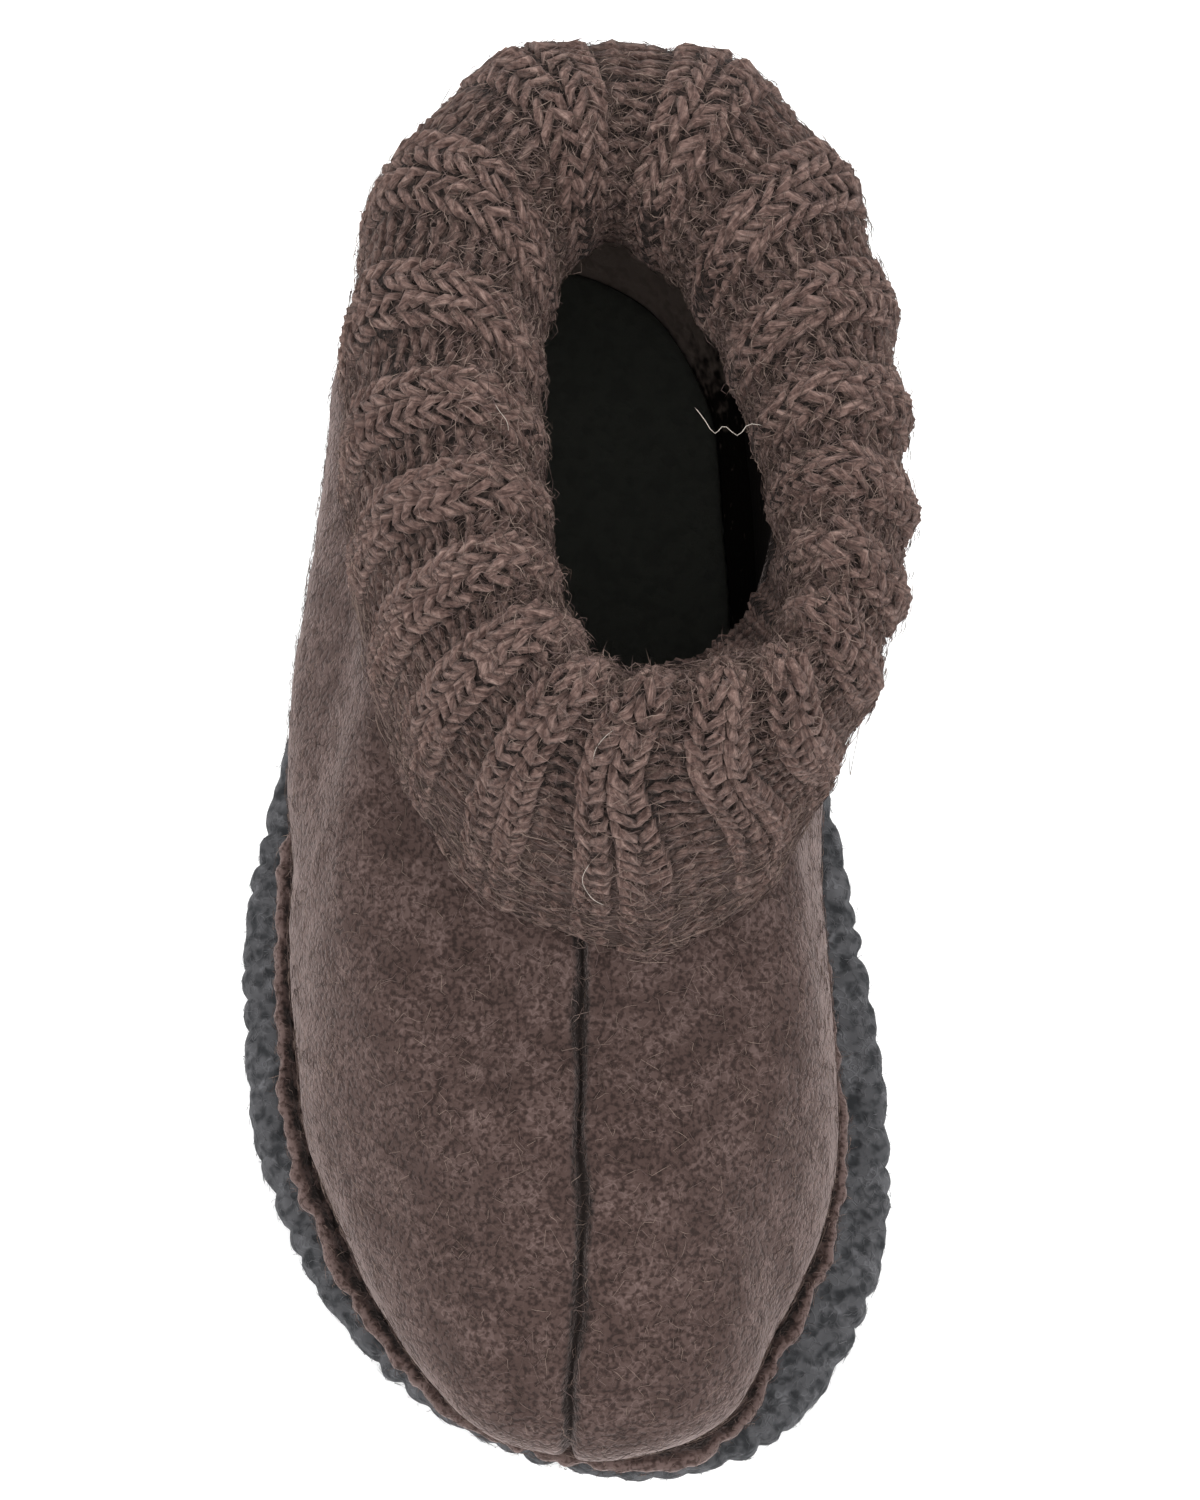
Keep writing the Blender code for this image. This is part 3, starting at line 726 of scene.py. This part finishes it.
flange_lumps = layered_lumps(foot[:, FLANGE_ROWS], FLANGE_LUMPS)
foot[:, FLANGE_ROWS] += flange_out[:, FLANGE_ROWS] * (MM * flange_lumps)[:, :, None]
# Painted shade in the groove, broken into dashes by the stitches and in patches.
broken = 0.8 * np.sin(2 * math.pi * along_base / GROOVE_STITCH) + 1.6 * lumps(base_line, 5 * MM)
groove_painted_shade = np.clip(0.75 + broken, 0.1, 1.0)[:, None]
foot_shade = np.zeros(foot.shape[:2])
foot_shade[:, PAINTED_LIGHT_ROWS] = FLANGE_PAINTED_LIGHT
foot_shade[:, -len(GROOVE_SHADES) :] = groove_painted_shade * GROOVE_SHADES
# Painted shade in the seam's groove, and where the stitched groove meets the wall.
wall_shade = np.minimum(1.0, 1.1 * fading * np.exp(-((from_seam / (1.15 * half_width)) ** 2)))
wall_foot = slice(len(WALL_SHADES))
wall_shade[:, wall_foot] = np.maximum(wall_shade[:, wall_foot], groove_painted_shade * WALL_SHADES)
upper_grid = np.concatenate([foot, wall, lining[:, ::-1]], axis=1)
# Painted shade on the inside of the wall and on the foot's inner rows, by place round the foot.
lining_dark = np.interp(place, LINING_PLACES, LINING_SHADES)[:, None]
lining_shade = np.repeat(lining_dark, lining.shape[1], axis=1)
foot_shade[:, :INNER_FOOT_ROWS] = lining_dark
upper_shade = np.concatenate([foot_shade, wall_shade, lining_shade], axis=1)
brown_felt = wool_finish(
    "brown_felt",
    (
        (0.24, (0.023, 0.014, 0.012)),
        (0.42, (0.038, 0.023, 0.020)),
        (0.60, (0.061, 0.038, 0.033)),
        (0.85, (0.125, 0.085, 0.077)),
    ),
    sizes=(200.0, 1500.0, 430.0), bump=0.35, sheen=0.42, sheen_colour=(0.95, 0.78, 0.74),
)
# The lining's colours are painted light, paler than the felt's own, and painted shade darkens them at the
# sides.
lining_painted_light_and_shade = wool_finish(
    "lining_painted_light_and_shade",
    ((0.25, (0.210, 0.162, 0.139)), (0.55, (0.250, 0.193, 0.166)), (0.85, (0.298, 0.234, 0.201))),
    sizes=(60.0, 600.0, 420.0), bump=0.3, sheen=0.0, sheen_colour=(1.0, 1.0, 1.0),
)
inside_rows = {*range(INNER_FOOT_ROWS), *range(FOOT_STEPS + WALL_ROWS, upper_grid.shape[1])}
upper_mesh = sewn_sheet("upper", upper_grid, True, upper_shade, inside_rows)
upper = add_piece("upper", upper_mesh, brown_felt)
upper_mesh.materials.append(lining_painted_light_and_shade)
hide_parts("upper")

# Nap of the upper: short loose fibres of the boiled wool, lying every way over the felt.
# They arch a little off it, so that the slipper's outline is soft.
UPPER_FIBRES = 10600
UPPER_FIBRE_LENGTH = (1.2, 3.6)
FLANGE_FIBRES = 1800
FLANGE_FIBRE_LENGTH = (0.8, 2.2)
FELT_FIBRE_RISE = (0.05, 0.4)
FELT_FIBRE_BEND = 0.4
FELT_FIBRE_RADIUS = 0.035 * MM
chance = np.random.default_rng(23)
wall_places = scattered(wall, wall_out, UPPER_FIBRES, np.ones(wall.shape[1] - 1), chance)
flange = foot[:, FLANGE_ROWS]
evenly = np.ones(flange.shape[1] - 1)
flange_places = scattered(flange, flange_out[:, FLANGE_ROWS], FLANGE_FIBRES, evenly, chance)
felt_lines = np.concatenate([
    lying_fibres(felt_places, length, FELT_FIBRE_RISE, FELT_FIBRE_BEND, FIBRE_POINTS, chance)
    for felt_places, length in ((wall_places, UPPER_FIBRE_LENGTH), (flange_places, FLANGE_FIBRE_LENGTH))
])
felt_tones = chance.random(len(felt_lines))
brown_fibre = fibre_finish(
    "brown_fibre",
    (
        (0.00, (0.045, 0.027, 0.025)),
        (0.35, (0.085, 0.059, 0.046)),
        (0.60, (0.125, 0.084, 0.079)),
        (1.00, (0.250, 0.184, 0.152)),
    ),
)
felt_nap = spindles("felt_nap", felt_lines, FELT_FIBRE_RADIUS, felt_tones, FIBRE_SIDES)
add_piece("felt_nap", felt_nap, brown_fibre)

# Flange stitches: a running stitch of dark wool thread in the groove over the flange.
# It sews the upper down to the sole, so the thread shows as a broken line all round.
STITCH_LENGTH = 3.1 * MM
STITCH_RADIUS = 0.42 * MM
STITCH_ARCH = 0.35 * MM
STITCH_SINK = 0.2 * MM
STITCH_STEPS = 6
STITCH_SIDES = 6
GROOVE_OUT = 0.65 * MM
GROOVE_UP = 1.15 * MM
groove_line = np.column_stack([flat + away * GROOVE_OUT, floor_line + GROOVE_UP])
groove_loop = np.vstack([groove_line, groove_line[:1]])
loop_step = np.linalg.norm(np.diff(groove_loop, axis=0), axis=1)
loop_length = np.concatenate([[0.0], np.cumsum(loop_step)])
stitch_count = round(loop_length[-1] / GROOVE_STITCH)
starts = np.arange(stitch_count) * loop_length[-1] / stitch_count
along_stitch = np.linspace(0, 1, STITCH_STEPS)
reach = (starts[:, None] + STITCH_LENGTH * along_stitch[None]) % loop_length[-1]
stitches = np.stack([np.interp(reach, loop_length, axis) for axis in groove_loop.T], axis=2)
stitches[:, :, 2] += STITCH_ARCH * np.sin(math.pi * along_stitch) - STITCH_SINK
dark_thread = wool_finish(
    "dark_thread",
    ((0.3, (0.018, 0.011, 0.010)), (0.8, (0.055, 0.036, 0.032))),
    sizes=(300.0, 1500.0, 800.0), bump=0.5, sheen=0.1, sheen_colour=(0.8, 0.7, 0.65),
)
flange_stitches = spindles(
    "flange_stitches", stitches, STITCH_RADIUS, np.zeros(stitch_count), STITCH_SIDES
)
add_piece("flange_stitches", flange_stitches, dark_thread)

# Cuff: a tube of two by two rib knit, sewn to the felt's top edge, turned out and folded down.
# This sheet stands for the close inner layer of the knit, the backs of its loops, seen only between the
# yarns; its dark colour is painted shade for those gaps.
KNIT_WALL = 3.4 * MM
FLAP_GAP = 0.9 * MM
FLAP_SAG = 4.0 * MM
RIBS = 18
RIB_STEPS = 8
RIB_SHIFT = 0.35
FRONT_CROWDING = 0.05
CUFF_STEPS = 96
BACKING = 0.9 * MM
BACKING_RISE = 0.8 * MM
PROFILE_STEPS = 241
FELTED_FROM = 0.62

# The two front ribs are drawn apart, by shares of a rib.
RIB_DRIFT = {8: -0.14, 9: 0.11}


def crest_columns(count):
    """Sides and angles of the cuff's columns, spaced along its crest and closer at the front."""
    turn = np.linspace(0, 2 * math.pi, 2001)
    crest = ring_point("crest", np.where(turn < math.pi, -1.0, 1.0), np.minimum(turn, 2 * math.pi - turn))
    length = np.concatenate([[0.0], np.cumsum(np.linalg.norm(np.diff(crest, axis=0), axis=1))])
    share = length / length[-1]
    crowded = share - FRONT_CROWDING * np.sin(2 * math.pi * share)
    even = np.interp((np.arange(count) / count + RIB_SHIFT / RIBS) % 1.0, crowded, turn)
    return np.where(even < math.pi, -1.0, 1.0), np.minimum(even, 2 * math.pi - even)


def cuff_middle(count, steps):
    """The middle of the knit's wall: columns round it, evenly spaced rows from felt to flap edge."""
    side, angle = crest_columns(count)
    table = np.linspace(0, 1, 400)
    profiles, flap_end = upper_profiles(side, np.interp(angle, ring_angle(table), table))
    lying = line_through(profiles, flap_end + np.array([[0.0, 0.05]]))
    off = grid_normals(lying)[:, 0]
    end = lying[:, 0] + off * (FLAP_GAP + KNIT_WALL / 2)
    start = ring_point("felt_top", side, angle)
    into = np.column_stack([outward(start[:, :2]), np.zeros(count)])
    start = start - into * FELT_WALL / 2 + np.array([0.0, 0.0, JOINT_GAP])
    rings = [ring_point(name, side, angle) for name in ("neck", "inner_crest", "crest", "outer_crest")]
    sag = (rings[-1] + end) / 2 + off * FLAP_SAG
    stops = np.stack([start, *rings, sag, end], axis=1)
    dense = line_through(stops, np.linspace(0, stops.shape[1] - 1, PROFILE_STEPS)[None])
    step = np.linalg.norm(np.diff(dense, axis=1), axis=2)
    length = np.concatenate([np.zeros((count, 1)), np.cumsum(step, axis=1)], axis=1)
    rows = []
    for line, far in zip(dense, length):
        at = np.linspace(0, far[-1], steps)
        rows.append(np.stack([np.interp(at, far, axis) for axis in line.T], axis=1))
    return np.array(rows)


def drawn(rib):
    """Where a place counted in even ribs has come to lie."""
    whole = np.arange(RIBS + 1)
    return rib + np.interp(np.mod(rib, RIBS), whole, [RIB_DRIFT.get(k, 0.0) for k in whole])


def felted(share):
    """How far the knit has felted: none over the crest, most at the flap's edge."""
    return np.clip((share - FELTED_FROM) / (1 - FELTED_FROM), 0, 1)


middle = cuff_middle(RIBS * RIB_STEPS, CUFF_STEPS)
middle_out = -grid_normals(middle)
even_ribs = np.linspace(0, RIBS, 40 * RIBS + 1)
rib = np.cos(2 * math.pi * np.interp(np.arange(RIBS * RIB_STEPS) / RIB_STEPS, drawn(even_ribs), even_ribs))
backing_share = np.linspace(0, 1, CUFF_STEPS)
backing_rise = BACKING_RISE * rib[:, None] * (1 - 0.8 * felted(backing_share))
front_face = middle + middle_out * (backing_rise + BACKING / 2)[:, :, None]
back_face = middle + middle_out * (backing_rise - BACKING / 2)[:, :, None]
backing_grid = np.concatenate([back_face[:, ::2], front_face[:, ::-2]], axis=1)
# Painted shade on the backing: darkest over the crest, fading out towards the felted flap edge.
backing_painted_shade = 0.6 * (1 - felted(np.concatenate([backing_share[::2], backing_share[::-2]])) ** 0.7)
backing_painted_shade = np.repeat(backing_painted_shade[None], RIBS * RIB_STEPS, axis=0)
knit_shadow = wool_finish(
    "knit_shadow",
    ((0.25, (0.030, 0.019, 0.016)), (0.55, (0.058, 0.037, 0.032)), (0.85, (0.095, 0.064, 0.056))),
    sizes=(200.0, 1300.0, 700.0), bump=0.6, sheen=0.05, sheen_colour=(0.9, 0.75, 0.7),
)
cuff_mesh = sewn_sheet("cuff", backing_grid, True, backing_painted_shade)
cuff = add_piece("cuff", cuff_mesh, knit_shadow)
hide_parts("cuff")

# Knit: thick brown wool yarn, worked in rounds from the flap's edge to the felt.
# Each round is one looped yarn: two knit stitches stand up as a rib, two purls lie back between.
# The loops of a round hang in those of the round before, as the needles left them.
COURSES = 38
WALE_WIDTH = 3.6 * MM
YARN_RADIUS = 0.72 * MM
RIB_SHARES = (0.62, 0.72)
STITCH_POINTS = 9
LOOP_HEIGHT = 2.15
LOOP_LEAN = 2.15
LOOP_DEPTH = 0.85 * MM
RIB_RISE = 0.95 * MM
YARN_SIDES = 5
YARN_PLIES = 3
TWISTS_PER_METRE = 90.0
YARN_WOBBLE = 0.28
WOBBLE_SIZE = 2.2 * MM
WOBBLE_SHIFTS = (31.0, 57.0, 83.0)
YARN_LUMPS = ((0.4, 7.0), (0.25, 2.5))

# How uneven the stitches are, as shares: the lean, height and place of a loop, and the yarn's thickness.
UNEVEN_LEAN = 0.12
UNEVEN_HEIGHT = 0.09
UNEVEN_PLACE = 0.10
UNEVEN_YARN = 0.10


def on_cuff(grid, rib, share):
    """Values of a grid over the cuff at ribs round it and shares of the way from felt to flap edge."""
    columns, rows = grid.shape[:2]
    a = np.mod(rib / RIBS, 1.0) * columns
    b = np.clip(share, 0, 1) * (rows - 1)
    i = np.minimum(a.astype(int), columns - 1)
    j = np.minimum(b.astype(int), rows - 2)
    s = (a - i)[..., None]
    t = (b - j)[..., None]
    after = (i + 1) % columns
    low = grid[i, j] * (1 - s) + grid[after, j] * s
    return low * (1 - t) + (grid[i, j + 1] * (1 - s) + grid[after, j + 1] * s) * t


def knit_rounds(chance):
    """Yarn lines of all rounds: points, ways out of the knit, the yarn's radius and its painted shade."""
    course = np.arange(COURSES)[:, None]
    whole_rib = np.arange(RIBS)[None]
    share = np.broadcast_to(1 - (course + 0.5) / COURSES, (COURSES, RIBS))
    width = np.linalg.norm(
        on_cuff(middle, whole_rib + 0.5, share) - on_cuff(middle, whole_rib - 0.5, share), axis=2
    )
    pair = np.clip(2 * WALE_WIDTH / width, *RIB_SHARES)
    centres = np.stack([-pair / 4, pair / 4, 0.5 - (1 - pair) / 4, 0.5 + (1 - pair) / 4], axis=2)
    widths = np.stack([pair / 2, pair / 2, (1 - pair) / 2, (1 - pair) / 2], axis=2)
    tau = (np.arange(STITCH_POINTS) + 0.5) / STITCH_POINTS - 0.5
    lean = LOOP_LEAN / (2 * math.pi) * np.sin(4 * math.pi * tau)
    shape = (COURSES, RIBS, 4, 1)
    slack = 1 + UNEVEN_LEAN * chance.normal(size=shape)
    rib_at = whole_rib[..., None, None] + centres[..., None] + widths[..., None] * (tau + lean * slack)
    face = np.repeat([1.0, 1.0, -1.0, -1.0], STITCH_POINTS)
    face = (np.roll(face, 1) + 2 * face + np.roll(face, -1)) / 4
    tall = LOOP_HEIGHT / 2 * (1 + UNEVEN_HEIGHT * chance.normal(size=shape))
    drift = UNEVEN_PLACE * chance.normal(size=shape)
    rise = tall * np.cos(2 * math.pi * tau) + drift
    share_at = share[..., None, None] - rise / COURSES
    forward = -np.cos(4 * math.pi * tau) * face.reshape(4, STITCH_POINTS)
    line_shape = (COURSES, RIBS * 4 * STITCH_POINTS)
    ridge = RIB_RISE * np.cos(2 * math.pi * rib_at.reshape(line_shape))
    rib_at = drawn(rib_at.reshape(line_shape))
    share_at = share_at.reshape(line_shape)
    forward = np.broadcast_to(forward, (COURSES, RIBS, 4, STITCH_POINTS)).reshape(line_shape)
    flatter = (1 - 0.70 * felted(share_at)) * np.interp(share_at, (0.26, 0.40), (0.4, 1.0))
    out = unit(on_cuff(middle_out, rib_at, share_at))
    points = on_cuff(middle, rib_at, share_at) + out * (flatter * (LOOP_DEPTH * forward + ridge))[..., None]
    uneven = layered_lumps(points, YARN_LUMPS)
    wobble = np.stack([lumps(points + shift * MM, WOBBLE_SIZE) for shift in WOBBLE_SHIFTS], axis=-1)
    purl = 0.5 - 0.5 * np.tile(face, RIBS)
    loose = YARN_WOBBLE * (1 + 2.0 * felted(share_at) + 0.7 * purl)
    points = points + MM * (out * uneven[..., None] + loose[..., None] * wobble)
    thick = YARN_RADIUS * (1 + UNEVEN_YARN * chance.normal(size=shape)) * np.ones(STITCH_POINTS)
    # Painted shade: darker where the yarn dives behind its neighbours and over the sunken purls, less
    # towards the felted flap edge.
    shade = np.clip(0.46 + 0.42 * purl - 0.65 * forward, 0, 1) * (0.95 - 0.50 * felted(share_at))
    return points, out, thick.reshape(line_shape) * (0.86 + 0.14 * forward), shade


def yarn_mesh(name, line, out, radius, shade):
    """Closed loops of yarn as tubes, with a UV map along the yarn and round it, and a painted shade."""
    count, points = line.shape[:2]
    tangent = unit(np.roll(line, -1, axis=1) - np.roll(line, 1, axis=1))
    aside = unit(np.cross(tangent, out))
    above = np.cross(aside, tangent)
    turn = np.arange(YARN_SIDES) * 2 * math.pi / YARN_SIDES
    spread = aside[:, :, None] * np.cos(turn)[:, None] + above[:, :, None] * np.sin(turn)[:, None]
    corners = line[:, :, None] + spread * radius[:, :, None, None]
    tube, ring, side = np.meshgrid(np.arange(count), np.arange(points), np.arange(YARN_SIDES), indexing="ij")
    steps = ((0, 0), (1, 0), (1, 1), (0, 1))
    faces = [
        (tube * points + (ring + ahead) % points) * YARN_SIDES + (side + over) % YARN_SIDES
        for ahead, over in steps
    ]
    mesh = bpy.data.meshes.new(name)
    mesh.from_pydata(corners.reshape(-1, 3).tolist(), [], np.stack(faces, axis=-1).reshape(-1, 4).tolist())
    mesh.shade_smooth()
    apart = np.linalg.norm(np.roll(line, -1, axis=1) - line, axis=2)
    far = np.concatenate([np.zeros((count, 1)), np.cumsum(apart, axis=1)], axis=1)
    along = [far[tube, ring + ahead] + tube * 0.37 for ahead, _ in steps]
    over = [(side + over) / YARN_SIDES for _, over in steps]
    uv = np.stack([np.stack(along, axis=-1), np.stack(over, axis=-1)], axis=-1)
    mesh.uv_layers.new(name="UVMap").data.foreach_set("uv", uv.astype(np.float32).ravel())
    painted_shade = mesh.attributes.new("shade", "FLOAT", "POINT")
    painted_shade.data.foreach_set("value", np.repeat(shade.ravel(), YARN_SIDES).astype(np.float32))
    return mesh


def yarn_finish():
    """Brown wool yarn of three plies: twisted ridges, streaks along the fibres, a soft sheen, and painted
    shade from the mesh.
    """
    finish = bpy.data.materials.new("brown_yarn")
    finish.use_nodes = True
    tree = finish.node_tree
    place = placed(tree, "ShaderNodeTexCoord", {})
    split = placed(tree, "ShaderNodeSeparateXYZ", {"Vector": place.outputs["UV"]})
    along, over = split.outputs["X"], split.outputs["Y"]
    twisted = maths(tree, "MULTIPLY_ADD", along, TWISTS_PER_METRE, over)
    ply = maths(tree, "SINE", maths(tree, "MULTIPLY", twisted, YARN_PLIES * 2 * math.pi))
    streak_place = placed(
        tree, "ShaderNodeCombineXYZ",
        {"X": maths(tree, "MULTIPLY", twisted, 14.0), "Y": maths(tree, "MULTIPLY", along, 260.0)},
    )
    streaks = placed(
        tree, "ShaderNodeTexNoise",
        {"Vector": streak_place.outputs["Vector"], "Scale": 1.0, "Detail": 3.0, "Roughness": 0.65},
    ).outputs["Fac"]
    sizes = {"Clumps": 160.0, "Pits": 1300.0, "Strands": 700.0}
    tangle = placed(tree, "ShaderNodeGroup", sizes, node_tree=wool_tangle)
    tree.links.new(place.outputs["Object"], tangle.inputs["Vector"])
    shade = maths(tree, "MULTIPLY_ADD", streaks, 0.72, maths(tree, "MULTIPLY", ply, 0.06))
    tone = maths(tree, "MULTIPLY_ADD", tangle.outputs["Tone"], 0.42, shade)
    stops = (
        (0.28, (0.019, 0.011, 0.009)),
        (0.48, (0.078, 0.046, 0.039)),
        (0.64, (0.160, 0.101, 0.086)),
        (0.86, (0.330, 0.228, 0.194)),
    )
    fibres = maths(tree, "MULTIPLY_ADD", tangle.outputs["Height"], 0.7, maths(tree, "MULTIPLY", ply, 0.2))
    height = maths(tree, "MULTIPLY_ADD", streaks, 1.2, fibres)
    relief = placed(tree, "ShaderNodeBump", {"Height": height, "Strength": 0.8, "Distance": 0.35 * MM})
    shader = tree.nodes["Principled BSDF"]
    # Painted shade: the yarn's colour blends towards the shade colour by the mesh's shade.
    painted_shade = placed(tree, "ShaderNodeAttribute", {}, attribute_name="shade").outputs["Fac"]
    tree.links.new(blended(tree, painted_shade, ramp(tree, tone, stops), PAINTED_SHADE_COLOUR), shader.inputs["Base Color"])
    tree.links.new(relief.outputs["Normal"], shader.inputs["Normal"])
    shader.inputs["Roughness"].default_value = 0.92
    shader.inputs["Specular IOR Level"].default_value = 0.15
    shader.inputs["Sheen Weight"].default_value = 0.10
    shader.inputs["Sheen Roughness"].default_value = 0.45
    shader.inputs["Sheen Tint"].default_value = (0.95, 0.80, 0.74, 1.0)
    return finish


chance = np.random.default_rng(31)
yarn_line, yarn_out, yarn_radius, yarn_painted_shade = knit_rounds(chance)
brown_yarn = yarn_finish()
half = COURSES // 2
for name, rounds in (("flap_knit", slice(None, half)), ("collar_knit", slice(half, None))):
    knit = yarn_mesh(name, yarn_line[rounds], yarn_out[rounds], yarn_radius[rounds], yarn_painted_shade[rounds])
    add_piece(name, knit, brown_yarn)

# Fuzz of the knit: short fibres worked loose from the yarn, thickest towards the flap's worn edge.
# Longer ones tangle over that edge and stand round the opening's rim, and a few pale hairs have
# strayed over the collar.
FUZZ_ROOT = 0.75

# Kinds of fuzz: name, first round and end of its rounds, fibres, how thickly they grow at both ends,
# length and rise in millimetres, bend, points, bow, radius in millimetres and darkest tone.
FUZZ_ROWS = (
    ("flap_fuzz", 0, half + 1, 23000, (2.2, 1.0), (1.5, 4.0), (0.05, 0.4), 0.4, 3, 40.0, 0.060, 0.0),
    ("collar_fuzz", half, 33, 26500, (1.0, 1.1), (1.5, 4.0), (0.05, 0.4), 0.4, 3, 40.0, 0.060, 0.0),
    ("rim_fuzz", 21, 30, 320, (1.0, 1.0), (1.5, 4.0), (0.5, 2.0), 0.5, 5, 0.0, 0.035, 0.0),
    ("flap_tangle", 0, 13, 3000, (3.0, 0.5), (2.5, 7.0), (0.2, 0.9), 0.6, 5, 25.0, 0.050, 0.4),
)

# Stray hairs, each by points: rib round the cuff, share of the way to the flap's edge, height in mm.
STRAY_HAIRS = (
    ((13.9, 0.30, 1.5), (13.95, 0.30, 4.0), (13.8, 0.30, 6.2), (13.95, 0.30, 7.8), (13.85, 0.30, 9.4),
     (14.1, 0.30, 10.6), (14.25, 0.30, 11.4)),
    ((7.72, 0.735, 1.5), (7.68, 0.765, 1.9), (7.70, 0.80, 1.7), (7.76, 0.825, 1.7), (7.82, 0.84, 1.4)),
    ((7.78, 0.455, 1.5), (7.68, 0.475, 2.1), (7.66, 0.50, 2.1), (7.70, 0.525, 1.5)),
    ((3.05, 0.410, 1.5), (3.15, 0.408, 2.1), (3.25, 0.400, 2.1), (3.33, 0.395, 1.5)),
)
HAIR_STEPS = 16
HAIR_RADIUS = 0.05 * MM
chance = np.random.default_rng(47)
yarn_skin = (yarn_line + yarn_out * YARN_RADIUS * FUZZ_ROOT).swapaxes(0, 1)
fuzz_out = yarn_out.swapaxes(0, 1)
for name, first, end, count, worn, length, rise, bend, points, bow, radius, darkest in FUZZ_ROWS:
    skin = yarn_skin[:, first:end]
    thickness = np.linspace(*worn, skin.shape[1] - 1)
    fuzz_places = scattered(skin, fuzz_out[:, first:end], count, thickness, chance)
    fuzz_lines = lying_fibres(fuzz_places, length, rise, bend, points, chance, bow)
    fuzz_tones = darkest + (1 - darkest) * chance.random(count)
    fuzz = spindles(name, fuzz_lines, radius * MM, fuzz_tones, FIBRE_SIDES)
    add_piece(name, fuzz, brown_fibre)
hair_lines = []
for hair in STRAY_HAIRS:
    rib_at, share_at, height = np.array(hair).T
    off_knit = MM * height[:, None] * unit(on_cuff(middle_out, rib_at, share_at))
    bent = on_cuff(middle, rib_at, share_at) + off_knit
    hair_lines.append(line_through(bent[None], np.linspace(0, len(hair) - 1, HAIR_STEPS)[None])[0])
pale_fibre = fibre_finish("pale_fibre", ((0.0, (0.25, 0.20, 0.17)), (1.0, (0.62, 0.56, 0.50))))
hair_tones = np.linspace(0.8, 0.4, len(hair_lines))
stray_hairs = spindles("stray_hairs", np.array(hair_lines), HAIR_RADIUS, hair_tones, FIBRE_SIDES)
add_piece("stray_hairs", stray_hairs, pale_fibre)

# Studio: a wide matt floor under the sole, brightened a little where the camera sees it.
# Four square soft lamps stand at the sides, behind and overhead, in a bright, even surround.
FLOOR_SIZE = 4.0
FLOOR_GLOW = 0.25
SURROUND = 0.40

# Lamps: name, place and width in metres, power in watts.
SOFTBOXES = (
    ("from_left", (-0.95, -0.35, 0.95), 0.9, 13.0),
    ("from_right", (0.95, -0.25, 0.95), 0.9, 11.0),
    ("from_behind", (0.1, 1.0, 0.9), 0.9, 11.0),
    ("overhead", (0.0, -0.45, 1.2), 0.8, 5.0),
)
floor_shape = bmesh.new()
bmesh.ops.create_grid(floor_shape, x_segments=4, y_segments=4, size=FLOOR_SIZE)
floor_mesh = bpy.data.meshes.new("floor")
floor_shape.to_mesh(floor_mesh)
floor_shape.free()
floor = bpy.data.objects.new("floor", floor_mesh)
bpy.context.scene.collection.objects.link(floor)
pale_floor = bpy.data.materials.new("pale_floor")
pale_floor.use_nodes = True
floor_shader = pale_floor.node_tree.nodes["Principled BSDF"]
floor_shader.inputs["Base Color"].default_value = (0.93, 0.93, 0.93, 1.0)
floor_shader.inputs["Roughness"].default_value = 0.9
light_path = pale_floor.node_tree.nodes.new("ShaderNodeLightPath")
pale_floor.node_tree.links.new(light_path.outputs["Is Camera Ray"], floor_shader.inputs["Emission Color"])
floor_shader.inputs["Emission Strength"].default_value = FLOOR_GLOW
floor_mesh.materials.append(pale_floor)
for name, lamp_place, width, power in SOFTBOXES:
    lamp = bpy.data.lights.new(name, "AREA")
    lamp.shape = "SQUARE"
    lamp.size = width
    lamp.energy = power
    softbox = bpy.data.objects.new(name, lamp)
    softbox.location = lamp_place
    softbox.rotation_euler = Vector(lamp_place).to_track_quat("Z", "Y").to_euler()
    bpy.context.scene.collection.objects.link(softbox)
world = bpy.data.worlds.new("bright_surround")
world.use_nodes = True
world.node_tree.nodes["Background"].inputs["Color"].default_value = (1.0, 1.0, 1.0, 1.0)
world.node_tree.nodes["Background"].inputs["Strength"].default_value = SURROUND
bpy.context.scene.world = world
bpy.context.scene.view_settings.view_transform = "Standard"

# Camera: steeply above the toe, turned a little to the outer side and rolled, as photographed.
# A long lens three quarters of a metre away takes in the whole slipper with room round it.
AZIMUTH = math.radians(-12.5)
ELEVATION = math.radians(73.0)
ROLL = math.radians(11.9)
DISTANCE = 0.75
LENS = 139.68
TARGET = Vector((3.5, 4.7, 30.0)) * MM
back = Vector((
    math.sin(AZIMUTH) * math.cos(ELEVATION), -math.cos(AZIMUTH) * math.cos(ELEVATION), math.sin(ELEVATION),
))
level = Vector((math.cos(AZIMUTH), math.sin(AZIMUTH), 0.0))
upright = back.cross(level)
right = level * math.cos(ROLL) + upright * math.sin(ROLL)
above = upright * math.cos(ROLL) - level * math.sin(ROLL)
view = bpy.data.cameras.new("camera")
view.sensor_width = 36.0
view.lens = LENS
camera = bpy.data.objects.new("camera", view)
turned = Matrix((right, above, back)).transposed().to_4x4()
camera.matrix_world = Matrix.Translation(TARGET + back * DISTANCE) @ turned
bpy.context.scene.collection.objects.link(camera)
bpy.context.scene.camera = camera
